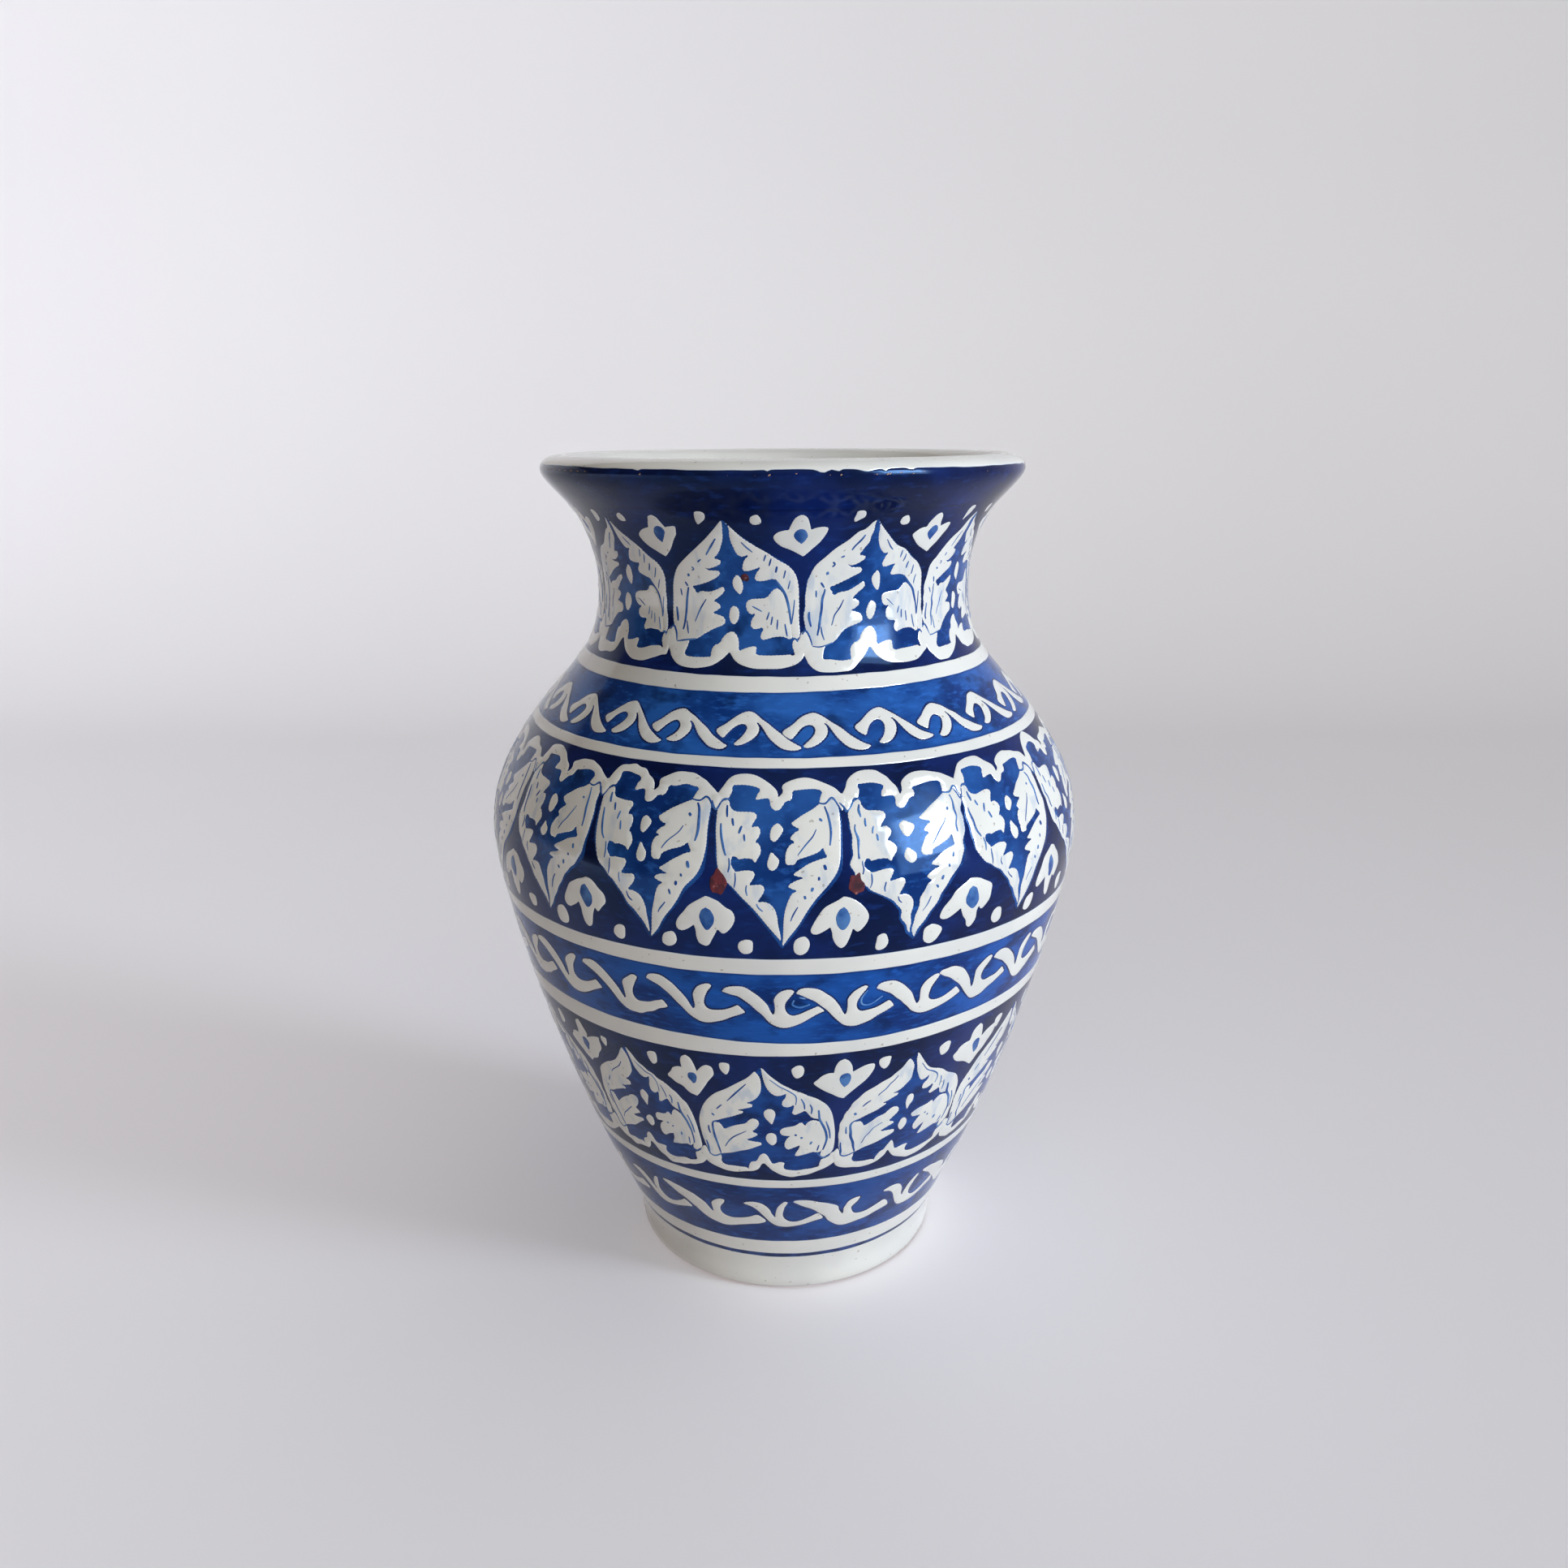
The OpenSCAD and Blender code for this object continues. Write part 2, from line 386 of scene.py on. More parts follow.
NECK = {
    "cell": (-33, 5), "edges": (-68, -33, 5, 42.7, 76), "count": 10,
    "field": [(-14.2, 282.3, 1), (-12, 279.2), (-8, 275.6), (-4, 272.4), (-0.5, 269.8), (2.4, 267),
        (4.2, 263), (4.7, 258), (4.7, 250), (4.9, 245.5), (3, 241), (-4, 238.5), (-11, 239.5),
        (-14.3, 242.5), (-17, 239.5), (-22, 237.7), (-28, 238.8), (-30.8, 242), (-32.2, 246),
        (-32.3, 251), (-32.2, 259), (-31.4, 264), (-29.6, 267), (-26.5, 270), (-23, 272.8),
        (-19, 276.4), (-16.5, 279.2)],
    "leaves": [
        [(-14.5, 281.7, 1), (-17.5, 278.4), (-20.5, 275.4), (-24, 272.3), (-27.2, 269.4),
         (-29.6, 266.8), (-31, 263.8), (-31.7, 260), (-31.9, 255), (-32, 250), (-31.4, 247.8),
         (-30.5, 245.2), (-30.1, 243.5, 1), (-27.5, 244), (-24, 244.9), (-21.5, 246.8),
         (-18.8, 248.4), (-16.7, 249.5), (-16.1, 250.5), (-16.8, 251.7), (-18.6, 252.4),
         (-20.4, 252.8, 1), (-18.9, 253.3), (-17.3, 254.6, 1), (-18.2, 255.6), (-19.7, 256.3, 1),
         (-18, 257.6), (-16.7, 259), (-16.3, 260.2), (-17, 260.7), (-18.6, 259.9), (-20.8, 259.1),
         (-22.8, 259.3), (-24, 258.7), (-24.5, 257.9, 1), (-24.8, 259.6), (-25.6, 260.4),
         (-26.5, 260.2), (-26.8, 260.5, 1), (-23, 261.6), (-20, 262.9), (-18.1, 264.1),
         (-17.3, 265.2), (-17.8, 266), (-19.6, 266), (-21.6, 266.2, 1), (-19.5, 267),
         (-17.7, 267.8), (-16.7, 268.8), (-17.3, 269.6), (-19.1, 269.9, 1), (-17.7, 271),
         (-16.5, 273), (-15.4, 276), (-14.9, 279)],
        [(-13.8, 281.2, 1), (-12.2, 279.1), (-10, 276.8), (-7, 274.4), (-4, 272.1), (-1.2, 269.7),
         (1.5, 267.6), (3.3, 264.8), (4.2, 261.5), (4.4, 257), (4.4, 251), (4.6, 246.6), (4, 245.4),
         (3, 245.3), (2.4, 247), (2.2, 250), (1.9, 254), (1.1, 257.4), (-0.2, 260.2), (-1.6, 262.6),
         (-2.1, 263.8, 1), (-3.4, 263.6), (-5.5, 263), (-7, 263), (-7.5, 263.8), (-7, 265.3),
         (-6, 266.7), (-5, 267.9, 1), (-7, 267), (-9.6, 266.1), (-10.7, 266.5), (-10.7, 267.8),
         (-10, 269.8), (-8.9, 271.1), (-7.6, 272.3, 1), (-9.2, 271.5), (-10.6, 271), (-11.7, 271.5),
         (-12.4, 273.2), (-13, 275.4), (-13.2, 277.5), (-13.1, 279.6)],
        [(-1.5, 260.7), (-2.7, 260), (-3.6, 258.8), (-4.3, 257.8, 1), (-5.7, 257.6), (-8, 257.4),
         (-9.6, 256.9), (-10.3, 255.7), (-10, 254), (-9.1, 252.9), (-8, 253), (-7, 253.4, 1),
         (-8.2, 252), (-8.9, 250.6), (-9, 249.3), (-8.2, 248.4), (-7, 248.5), (-5.1, 249.3, 1),
         (-5.7, 247.9), (-6.3, 246.2), (-5.9, 245.1), (-4.5, 245.4), (-2.5, 246), (0, 246),
         (1.4, 245.3), (2.4, 245.2), (2.3, 248), (2, 252), (1.5, 255.3), (0.5, 258.3),
         (-0.6, 260)]],
    "cloud": [(-34.2, 243.8), (-33.3, 246.4), (-32.1, 247.8), (-31, 246.9), (-30.4, 245.2),
        (-30.1, 243.4, 1), (-28, 243.6), (-26.1, 244.2, 1), (-26.8, 241.8), (-27.3, 240),
        (-26.6, 239.2), (-24.5, 239), (-21.5, 239.1), (-19.7, 239.3), (-19.2, 238.8, 1),
        (-19.4, 240.6), (-19.1, 242.3), (-18.3, 243.4), (-17.2, 243.6, 1), (-16.6, 245.3),
        (-15.4, 246.9), (-13.9, 247.4), (-12.8, 246.3), (-12.2, 244.2), (-12.1, 241.5, 1),
        (-10.8, 242.2), (-9, 242.9), (-7.4, 243.1, 1), (-7.5, 241.3), (-7.2, 240.2), (-5, 240),
        (-1.5, 240), (1.6, 240.3), (2.4, 239.6, 1), (3, 239.9), (2.8, 241.3), (2.4, 242.9),
        (2.7, 244.4), (3.4, 245.2), (3.9, 244.2, 1), (4.8, 245.6), (5.6, 245.4), (5.9, 243),
        (5.6, 240.8), (4.4, 238.4), (1.5, 236.8), (-2.5, 236.2), (-7.5, 236.2), (-10.5, 237),
        (-12.7, 238.5), (-13.8, 240.1), (-14.5, 241.4, 1), (-15.2, 240.4), (-16.7, 238.6),
        (-19.2, 236.7), (-23, 235.6), (-26.5, 235.7), (-29, 236.6), (-30.9, 238.4), (-31.9, 240.4),
        (-33, 242)],
    "drops": [
        [(-12.8, 264.9), (-11.7, 264.3), (-11, 262.2), (-11, 260.2), (-11.8, 258.5), (-13, 259.3),
         (-13.9, 260.8), (-14, 263)],
        [(-13.8, 255.2), (-12.6, 254.6), (-12.1, 252.8), (-12.6, 250.5), (-13.6, 249.5),
         (-14.7, 250.2), (-15.2, 252.2), (-14.8, 254.4)]],
    "flowers": [[(4.2, 283.6), (2.9, 282.7), (2.1, 281), (1.5, 279.2, 1), (0.2, 279), (-1.1, 278.5),
        (-2.2, 277.2), (-1.7, 275.6), (0, 273.8), (2.5, 272.4), (5.3, 270.4, 1), (7.3, 272.6),
        (9.5, 275.2), (10.9, 277.9), (11.2, 279.6), (10.2, 280.1), (8.6, 279.8), (7.1, 279.2, 1),
        (6.6, 281), (6, 282.6), (5.2, 283.4)]],
    "dots": [
        [(-5.7, 283.6), (-4.8, 282.3), (-4.9, 280.9), (-6.5, 280.5), (-7.5, 281.3), (-7.3, 282.9)],
        [(-20.9, 284.2), (-19.3, 284.4), (-18.3, 283.6), (-18.6, 282), (-20.2, 280.5),
         (-21.1, 280.1), (-21.5, 282)]],
    "hearts": [[(4.5, 279.4), (3.3, 278.7), (2.8, 277.4), (3.5, 275.8), (4.8, 274.6, 1),
        (5.9, 275.9), (6.4, 277.4), (5.8, 278.9)]],
    "veins": [([(-20.7, 271), (-19.2, 273.4), (-17.2, 276.3)], 0.7),
        ([(-23.4, 268.7), (-22.2, 269.8)], 0.6),
        ([(-25.2, 267.3), (-24.6, 266.5), (-25.4, 266)], 0.6),
        ([(-26.5, 265), (-26.3, 263.9)], 0.9), ([(-27.7, 262.2), (-26.8, 260.6)], 0.7),
        ([(-26.7, 260.4), (-27.4, 256.5), (-27.8, 252), (-28.1, 249), (-28.5, 246.8)], 0.9),
        ([(-27.5, 250), (-27.1, 248), (-26.6, 245.8)], 0.6),
        ([(-30.8, 253.8), (-30.6, 251.4), (-30.4, 249.2)], 0.9),
        ([(-29.2, 259.8), (-28.9, 257.4)], 0.6),
        ([(-24.9, 249.5), (-23.3, 253.7), (-21.5, 257)], 0.55),
        ([(-32.9, 246.6), (-31.8, 247.9), (-30.7, 246.2), (-30.1, 243.2)], 0.7),
        ([(-30.3, 243.2), (-27.5, 243.8), (-24.3, 244.7)], 0.6),
        ([(-10.3, 275.4), (-9, 273.8), (-7.5, 272.3)], 0.6), ([(-4.1, 271.6), (-4.8, 269.3)], 0.6),
        ([(-2.7, 270.3), (-3.4, 267.6)], 0.6), ([(-1.3, 267.8), (-1.8, 265.5)], 0.7),
        ([(0.8, 266.4), (0.3, 263.7)], 0.6), ([(2.1, 263.2), (1.5, 260.2)], 0.5),
        ([(-2.1, 263.6), (-0.3, 260.8), (1.1, 257.9), (1.9, 254), (2.3, 249.8)], 0.9),
        ([(2.4, 250), (2.9, 253.3), (3.3, 257.4)], 0.5),
        ([(-8.7, 255.3), (-7.2, 254.4), (-5.8, 253.6)], 0.5), ([(-3.7, 253.7), (-4.6, 250.9)], 0.6),
        ([(-2.8, 252.4), (-3.4, 249.6)], 0.6), ([(-1.4, 251.6), (-1.7, 248.1)], 0.6),
        ([(0.6, 250.2), (1.1, 246)], 0.6), ([(2.2, 245.2), (3.3, 245.3), (4.1, 244.1)], 0.6)],
}

BELLY = {
    "cell": (-12, 10.2), "edges": (-57.5, -34.8, -12, 10.2, 33.4, 56.5), "count": 16,
    "field": [(-0.6, 157.4, 1), (1.2, 161.3), (3.4, 167.3), (5.6, 173.2), (7.7, 177.6),
        (9.1, 181.5), (9.6, 187), (9.8, 193), (9.8, 199), (8.8, 203), (5, 206), (1, 205.6),
        (-0.8, 202.4), (-3, 205.4), (-7, 206.8), (-10.6, 205), (-11.7, 199), (-11.7, 190),
        (-11.2, 184), (-10.1, 179.8), (-8.2, 176), (-6, 171.8), (-4.2, 167.6), (-2.2, 162.2)],
    "leaves": [
        [(-11.5, 199.2), (-10.8, 200.9), (-9.8, 201.4), (-9.5, 200), (-8.9, 198.9), (-8, 198.4),
         (-6.5, 198.4), (-5.2, 198.2), (-4.7, 197.2), (-5.1, 195.9), (-5.7, 194, 1), (-5, 194.5),
         (-4.4, 194.5), (-4, 193.3), (-4.2, 191.7), (-5, 190, 1), (-4.2, 190.1), (-3.7, 188.6),
         (-3.8, 187), (-4.6, 184.6, 1), (-5, 185.7), (-6.2, 185.9), (-7.2, 185.6), (-8, 186.5),
         (-8.5, 185.7), (-8.6, 184), (-8.1, 182.4), (-7.7, 181.7, 1), (-7.1, 182.1), (-6, 182.4),
         (-5, 182.2), (-4.7, 181.3), (-5.1, 179.8), (-5.7, 178, 1), (-5, 178.1), (-4.1, 178.3),
         (-3.4, 178.1), (-3.1, 176.8), (-3.7, 174.8), (-4.6, 172.7, 1), (-3.5, 173.1),
         (-2.4, 172.5), (-1.6, 170.8), (-1.2, 168.4), (-1.1, 165.8), (-0.9, 163), (-0.75, 160.4, 1),
         (-1.5, 162.3), (-2.6, 165.2), (-4, 168.7), (-5.3, 171.6), (-7, 174.8), (-8.3, 177.2),
         (-9.4, 179), (-10.4, 181.4), (-10.9, 184.4), (-11.2, 188.5), (-11.4, 193.5)],
        [(9.5, 199.4), (8.6, 201.5), (7.5, 200.7), (6.2, 200.5, 1), (5, 199.3), (3, 197.6),
         (1, 195.3, 1), (1.8, 194.5), (2.9, 193.7, 1), (1.8, 192.9), (0.9, 191.4, 1), (1.3, 190.8),
         (2, 190.3, 1), (1, 189.6), (0.4, 188), (0.25, 186), (0.5, 184.2), (1.8, 184.1, 1),
         (2.1, 185.4), (3.8, 186.5), (5.5, 187.7), (6.3, 189, 1), (6.6, 187.6), (7.1, 186.1, 1),
         (5.5, 185.3), (3.8, 184), (2.6, 182.5), (1.5, 181.2, 1), (2.4, 180.7), (3.8, 180.3, 1),
         (2.2, 179.5), (1.2, 178.6), (0.7, 177.8, 1), (1.4, 177.1), (2.3, 176.5, 1), (1.4, 175.6),
         (0.8, 173.6), (0.3, 170.8), (0, 168), (-0.2, 165), (-0.35, 162), (-0.5, 158.6, 1),
         (0.6, 161.7), (2.2, 165.6), (3.8, 170.2), (5.4, 174.5), (7, 178.1), (8.4, 182),
         (9.1, 186.5), (9.4, 192)]],
    "cloud": [(-11.9, 198.6, 1), (-12.8, 201), (-12.9, 203), (-11.9, 202.8, 1), (-11, 205),
        (-10.2, 207), (-9, 208.1), (-7.3, 208.4), (-5.5, 208), (-4, 206.9), (-2.6, 205.5),
        (-1.5, 203.9), (-1.2, 202.1, 1), (-0.2, 203.6, 1), (-0.4, 205.3), (0.8, 206.5),
        (2.8, 207.4), (4.8, 207.4), (7, 206.2), (9, 204.6), (10.1, 203, 1), (10.9, 202.4),
        (10.9, 200.6), (10.1, 198.4, 1), (9.3, 200.4), (8.5, 202, 1), (7.4, 200.9), (6.2, 200.9, 1),
        (6.5, 202.5), (6.8, 203.9), (5.6, 204.6), (3.5, 204.5), (1.4, 204.1, 1), (1.35, 202.6),
        (0.9, 201.5), (0.2, 201.4), (-0.5, 200), (-1, 199.1), (-1.7, 198.9), (-2.4, 199.9),
        (-2.7, 201.7), (-3.4, 202.1), (-5.2, 201.7, 1), (-4.9, 203.2), (-4.5, 204.4), (-5.6, 205.2),
        (-7.2, 205.6), (-9.4, 205.5, 1), (-9.4, 203.6), (-9.9, 201.9, 1), (-10.7, 201.7),
        (-11.4, 200.4)],
    "drops": [
        [(-1.2, 195.5), (-0.3, 194.3), (-0.2, 193.2), (-0.8, 191.4), (-1.5, 190.3), (-2.2, 191),
         (-2.4, 192.7), (-2.1, 194.6)],
        [(-2, 187.7), (-1.2, 186.5), (-0.7, 185.3), (-0.9, 183.4), (-1.6, 182.3), (-2.3, 182.7),
         (-2.7, 184), (-2.5, 186)]],
    "flowers": [[(9.5, 174.5, 1), (8.4, 173.2), (6.6, 171.3), (5.5, 168.7), (4.6, 165.8),
        (4.2, 163.8), (4.5, 162.5), (5.3, 162.2), (6.3, 163), (7.5, 164.4, 1), (7.8, 162.8),
        (7.9, 160.9), (8.4, 158.6), (9.3, 157.2), (10.1, 158), (10.7, 160.5), (11.2, 163.5, 1),
        (11.9, 162.5), (12.6, 163.2), (13.4, 165.2), (13.7, 167.5), (13.1, 170), (11.8, 172.4),
        (10.5, 173.9)]],
    "dots": [
        [(2.3, 161.4), (3.3, 161.7), (4, 160.3), (4.1, 158.4), (3.5, 156.2), (2.4, 155.3),
         (1.5, 156.3), (1.3, 158.6), (1.6, 160.4)],
        [(-6.3, 160.8), (-5.3, 160.4), (-5.2, 158.5), (-5.4, 156.6), (-6.2, 155.7), (-7.1, 155.9),
         (-7.7, 157.7), (-7.4, 159.8)]],
    "hearts": [[(9.5, 171.2, 1), (8.7, 170), (8.3, 167.8), (8.6, 165.3), (9.3, 163.6), (10, 163.8),
        (10.6, 165.6), (10.7, 167.4), (10.2, 169.7)]],
    "veins": [([(-10.9, 201.2), (-11.9, 198.7), (-12.8, 201.2)], 0.7),
        ([(-9.6, 201.7), (-10.4, 201.8), (-11, 201.2)], 0.6),
        ([(6, 200.8), (7.3, 200.6), (8.6, 202), (10, 198.6)], 0.7),
        ([(7.1, 200), (7.6, 197.4), (7.8, 194), (7.7, 191.4), (7.5, 189.2)], 0.85),
        ([(2.1, 186.6), (3.2, 189.2), (4.6, 191.8), (5.3, 193.8)], 0.5),
        ([(6, 196.8), (6.5, 196)], 0.9), ([(-9.9, 200.2), (-9.8, 198.4), (-9.6, 196.8)], 0.8),
        ([(-8.7, 196.7), (-8.4, 194.6)], 0.8), ([(-7, 194.8), (-7.5, 192.6)], 0.8),
        ([(-6.6, 192.6), (-6.4, 190.5)], 0.7),
        ([(-10.6, 195.2), (-10.4, 191.4), (-10, 188.4), (-9.5, 186.2)], 0.9),
        ([(-8.9, 185.8), (-8.8, 183.6), (-9.1, 181.5)], 0.6),
        ([(-7.9, 181.8), (-7.9, 179.5), (-8.1, 177)], 0.5),
        ([(-6, 178.2), (-6.1, 176.6), (-5.9, 174.9)], 0.5),
        ([(-4.5, 172.7), (-4.2, 171.4), (-3.5, 170.2)], 0.5),
        ([(1, 167), (1.5, 169), (2.3, 171.4)], 0.5), ([(3.3, 175), (3.5, 173.8)], 0.8),
        ([(4.6, 177.5), (4.4, 176.2)], 0.9), ([(5.5, 180.5), (5.5, 179.4)], 0.8),
        ([(6.4, 184), (6.6, 182.4)], 1.0)],
}

BASE = {
    "cell": (-19.5, 11.4), "edges": (-47, -19.5, 11.4, 43.3), "count": 12,
    "field": [(-4.8, 112.5, 1), (-3.2, 108.8), (-0.8, 105), (3, 101.2), (6.5, 98), (9, 94.2),
        (10.3, 88.5), (10.9, 81), (11.1, 74), (10.6, 72), (8.6, 68.5), (5.5, 64.5), (1.5, 64),
        (-2.2, 66), (-4.2, 69), (-5.3, 70.5), (-6.5, 68.5), (-9, 65.6), (-13, 65), (-17, 66.6),
        (-18.6, 71), (-19.2, 76), (-19.3, 84), (-18.4, 90.4), (-16.6, 95.4), (-13.8, 99.6),
        (-10.5, 103.5), (-7.8, 107), (-6, 110.2)],
    "leaves": [
        [(-5.9, 110.4, 1), (-7.5, 107.3), (-9.5, 104.6), (-12, 101.8), (-14.5, 98.8), (-16.5, 95.3),
         (-18, 91), (-19, 86), (-19.1, 80), (-18.9, 76.5), (-18.5, 73.6), (-17.9, 70.9),
         (-16.9, 70.4), (-15.6, 71.3, 1), (-13, 72.6), (-11, 73.7), (-8.5, 75.1), (-6.5, 76.7),
         (-5.4, 77.9), (-5.8, 78.5), (-7.2, 78.8), (-9.4, 79.2, 1), (-8, 80.2), (-6.7, 81.5),
         (-6.3, 82.2), (-6.8, 82.7), (-7.6, 83.3, 1), (-6.5, 85), (-5.9, 87), (-6.1, 88.6),
         (-7, 89.2), (-7.9, 88.4), (-8.7, 87), (-10.2, 86.1), (-12, 84.8), (-13.7, 83.1, 1),
         (-14.2, 84.9), (-14.8, 85.9), (-15.5, 85.6), (-15.8, 86.3, 1), (-14.3, 87.4),
         (-12.5, 88.9), (-10.5, 90.3), (-9.2, 91.3), (-8.8, 91.9), (-9.6, 92.3), (-11, 92.5, 1),
         (-9.3, 93.1), (-8, 94), (-6.8, 94.9), (-6.6, 95.6), (-7.4, 96), (-8.8, 96.1, 1),
         (-7.3, 97), (-6, 98.7), (-5.2, 101), (-4.9, 104), (-5, 107), (-5.4, 109)],
        [(-4.6, 112, 1), (-3.1, 108.4), (-1.5, 105.8), (1, 102.8), (4, 100), (7, 97.3), (9, 93.6),
         (10.2, 88.5), (10.8, 82), (11, 76), (10.8, 73.6), (10.2, 72.3), (8.8, 70.9), (8.2, 71.8),
         (8.4, 74.6), (8.9, 77.5), (9, 80.5), (8.3, 85), (7.2, 89.1, 1), (6.4, 89.2), (5.4, 90.1),
         (4.8, 91.6), (4.1, 93.3, 1), (3, 92.2), (1.9, 91.3), (1.4, 92), (1.7, 94), (2, 97, 1),
         (1.5, 95.7), (0.4, 94.9), (-0.6, 95.5), (-0.6, 97.2), (0, 99), (0.2, 101.1, 1),
         (-0.9, 100.1), (-2, 100.1), (-3, 101.4), (-3.8, 103.8), (-4.3, 107), (-4.5, 109.8)],
        [(5.9, 88.4), (5, 87.9), (4.4, 86.8), (4.1, 85.3, 1), (3.7, 86.9), (3.1, 87.3), (2, 86.2),
         (0.4, 85.6), (-0.8, 84.8), (-1.3, 83.5), (-0.9, 82.1), (0, 81.8), (1.1, 81.6, 1),
         (0.2, 80.2), (-0.3, 78), (-0.1, 76.2), (0.6, 75.3), (1.7, 76.1), (3.3, 77.2, 1), (3, 75.4),
         (2.3, 73.3), (2.4, 72.2), (3.6, 72.5), (5, 73.2), (6.6, 73.9), (7.4, 73.4), (8.4, 74.8),
         (8.9, 77.5), (9, 80.4), (8.3, 84.4), (7.4, 87.4)]],
    "cloud": [(-20.5, 70.8), (-19.9, 73), (-19.2, 74), (-18.7, 73.2), (-18.4, 71, 1), (-17.2, 70.3),
        (-15.5, 71, 1), (-15.4, 69.4), (-15.6, 67.9), (-15.1, 66.6), (-14, 66.1), (-12, 66),
        (-9.7, 66), (-9, 64.9, 1), (-8.8, 67), (-8.2, 68.9), (-7.2, 69.4), (-6.7, 70.2), (-6.2, 72),
        (-5.4, 73.2), (-4.8, 73), (-4.2, 71.8), (-3.7, 70), (-3.1, 68.4, 1), (-2.3, 68.9),
        (-1.3, 69.4), (-0.2, 69.2, 1), (-0.5, 67.6), (-0.4, 66.1), (0.6, 65.3), (2.5, 65.1),
        (5, 65.6), (7.4, 66.1), (8.2, 66.4, 1), (8.2, 68), (8.5, 69.9, 1), (9.5, 70.3),
        (10.3, 71.1), (10.6, 72.3), (11.1, 72.8), (11.9, 72.2), (12.4, 70.6), (11.6, 68), (10, 66),
        (8, 64.5), (5.5, 63.1), (3, 62.3), (1, 62), (-1, 63), (-3, 65), (-4.2, 67.2),
        (-5.2, 68.9, 1), (-5.9, 68), (-6.5, 66.2), (-7.5, 65), (-8.8, 64.3), (-11, 63.7),
        (-13, 63.3), (-15, 63.7), (-17, 64.6), (-18.8, 66.1), (-19.7, 67.9)],
    "drops": [
        [(-3.5, 94.1), (-2.4, 93.4), (-2, 91.5), (-2.4, 88.8), (-3, 86.7), (-3.8, 88.2),
         (-4.6, 90.8), (-4.5, 93)],
        [(-3.1, 83), (-2.2, 82), (-2, 80), (-2.2, 78.2), (-3, 77.2), (-3.8, 78), (-4.5, 79.6),
         (-4.6, 81.2), (-4.1, 82.6)]],
    "flowers": [[(11.4, 115, 1), (10.3, 114), (9.6, 111.8), (9.3, 109.2, 1), (8.2, 109.2),
        (7, 108.4), (6.2, 107), (5.4, 105.4), (6, 103.8), (7.2, 102), (9, 100.2), (10.5, 98.6),
        (12, 97.4, 1), (13.2, 99.4), (14.8, 102), (16.5, 105), (17.6, 108.4), (17.6, 110.9),
        (16.7, 111.3), (15.1, 110.7), (13.3, 109, 1), (13.1, 111.5), (12.4, 113.8)]],
    "dots": [
        [(2.1, 113.2), (3.1, 113.1), (3.6, 111.5), (3.4, 109.2), (2.6, 107.8), (1.9, 107.6),
         (1.3, 109), (1.1, 111.6)],
        [(-11.9, 113.4), (-10.8, 113), (-10.7, 111.4), (-11.1, 109.2), (-11.7, 108), (-12.4, 109),
         (-12.9, 110.8), (-12.8, 112.8)]],
    "hearts": [[(12, 108.5), (11, 108), (10.5, 106.4), (10.8, 104.4), (11.7, 102.3, 1),
        (12.6, 103.6), (13, 106), (12.7, 107.9)]],
    "veins": [([(-12.1, 96.3), (-10.2, 100.2), (-7.9, 104.6)], 0.6),
        ([(-14.6, 92.2), (-13.3, 94.6)], 0.6), ([(-15.8, 90), (-15.4, 88.8)], 0.9),
        ([(-15, 86.8), (-16.1, 85.2), (-16.1, 80), (-15.7, 76), (-15.3, 71.6)], 0.9),
        ([(-17.1, 84.2), (-17.2, 82.4), (-17, 80.6)], 0.7),
        ([(-18.4, 77), (-18.2, 74), (-18.1, 71)], 0.8),
        ([(-18.3, 71.1), (-17.4, 70.2), (-16.4, 70.4), (-15.1, 71.6)], 0.7),
        ([(-14, 75.2), (-12.6, 78.6), (-10.8, 81.2), (-8.7, 83.4)], 0.55),
        ([(-3.2, 107), (-1.4, 104.4), (0.7, 101.9), (1.9, 100), (2.2, 98), (2.1, 95.8)], 0.5),
        ([(3.1, 98.6), (3.8, 96.3), (4, 93.8)], 0.6), ([(5, 96), (5.5, 94), (5.4, 91.4)], 0.6),
        ([(6.9, 93.2), (7.1, 91), (7.3, 88.8), (8.3, 85), (9, 81), (9.1, 78.5), (8.6, 74.6)], 0.95),
        ([(8.7, 88), (9.5, 83.4), (9.9, 79.4)], 0.7), ([(2, 82.4), (2.4, 81.6)], 0.9),
        ([(3.4, 81.2), (3.6, 80.2)], 0.9), ([(5.9, 78.8), (5.5, 77.4)], 0.8),
        ([(7.6, 77), (7.3, 74.2)], 0.6),
        ([(7.2, 73.8), (7.9, 72), (8.7, 70.7), (9.6, 71), (10.4, 71.9)], 0.7)],
}

SHOULDER_BRAID = {
    "starts": (-37, -22.8, -7.8, 6.3, 22, 36.8), "count": 24,
    "strands": [[(-6.5, 219.4), (-4.7, 221.2), (-3.2, 222.8), (-1.7, 223.9), (0.1, 224.4),
        (1.4, 223.8), (2.8, 222.5), (4.8, 220.6), (6.8, 218.6), (8.8, 216.9), (10.4, 215.9),
        (11.2, 215.4), (10.4, 214.7), (8.8, 214.4), (7.2, 214.8), (5.8, 215.9), (4.6, 217.5),
        (3.5, 219.5), (2.7, 220.8), (1.4, 222, 1), (2.4, 220.6), (2.7, 219.4), (2.4, 218),
        (1.3, 216.4), (-0.2, 215.3), (-1.7, 215), (-2.3, 215.5), (-1, 217), (-0.1, 218.6),
        (0.1, 219.8), (-0.4, 220.7), (-1.2, 221), (-2.2, 220.6), (-3.2, 219.6), (-4, 218.4),
        (-4.9, 217.4)]],
}
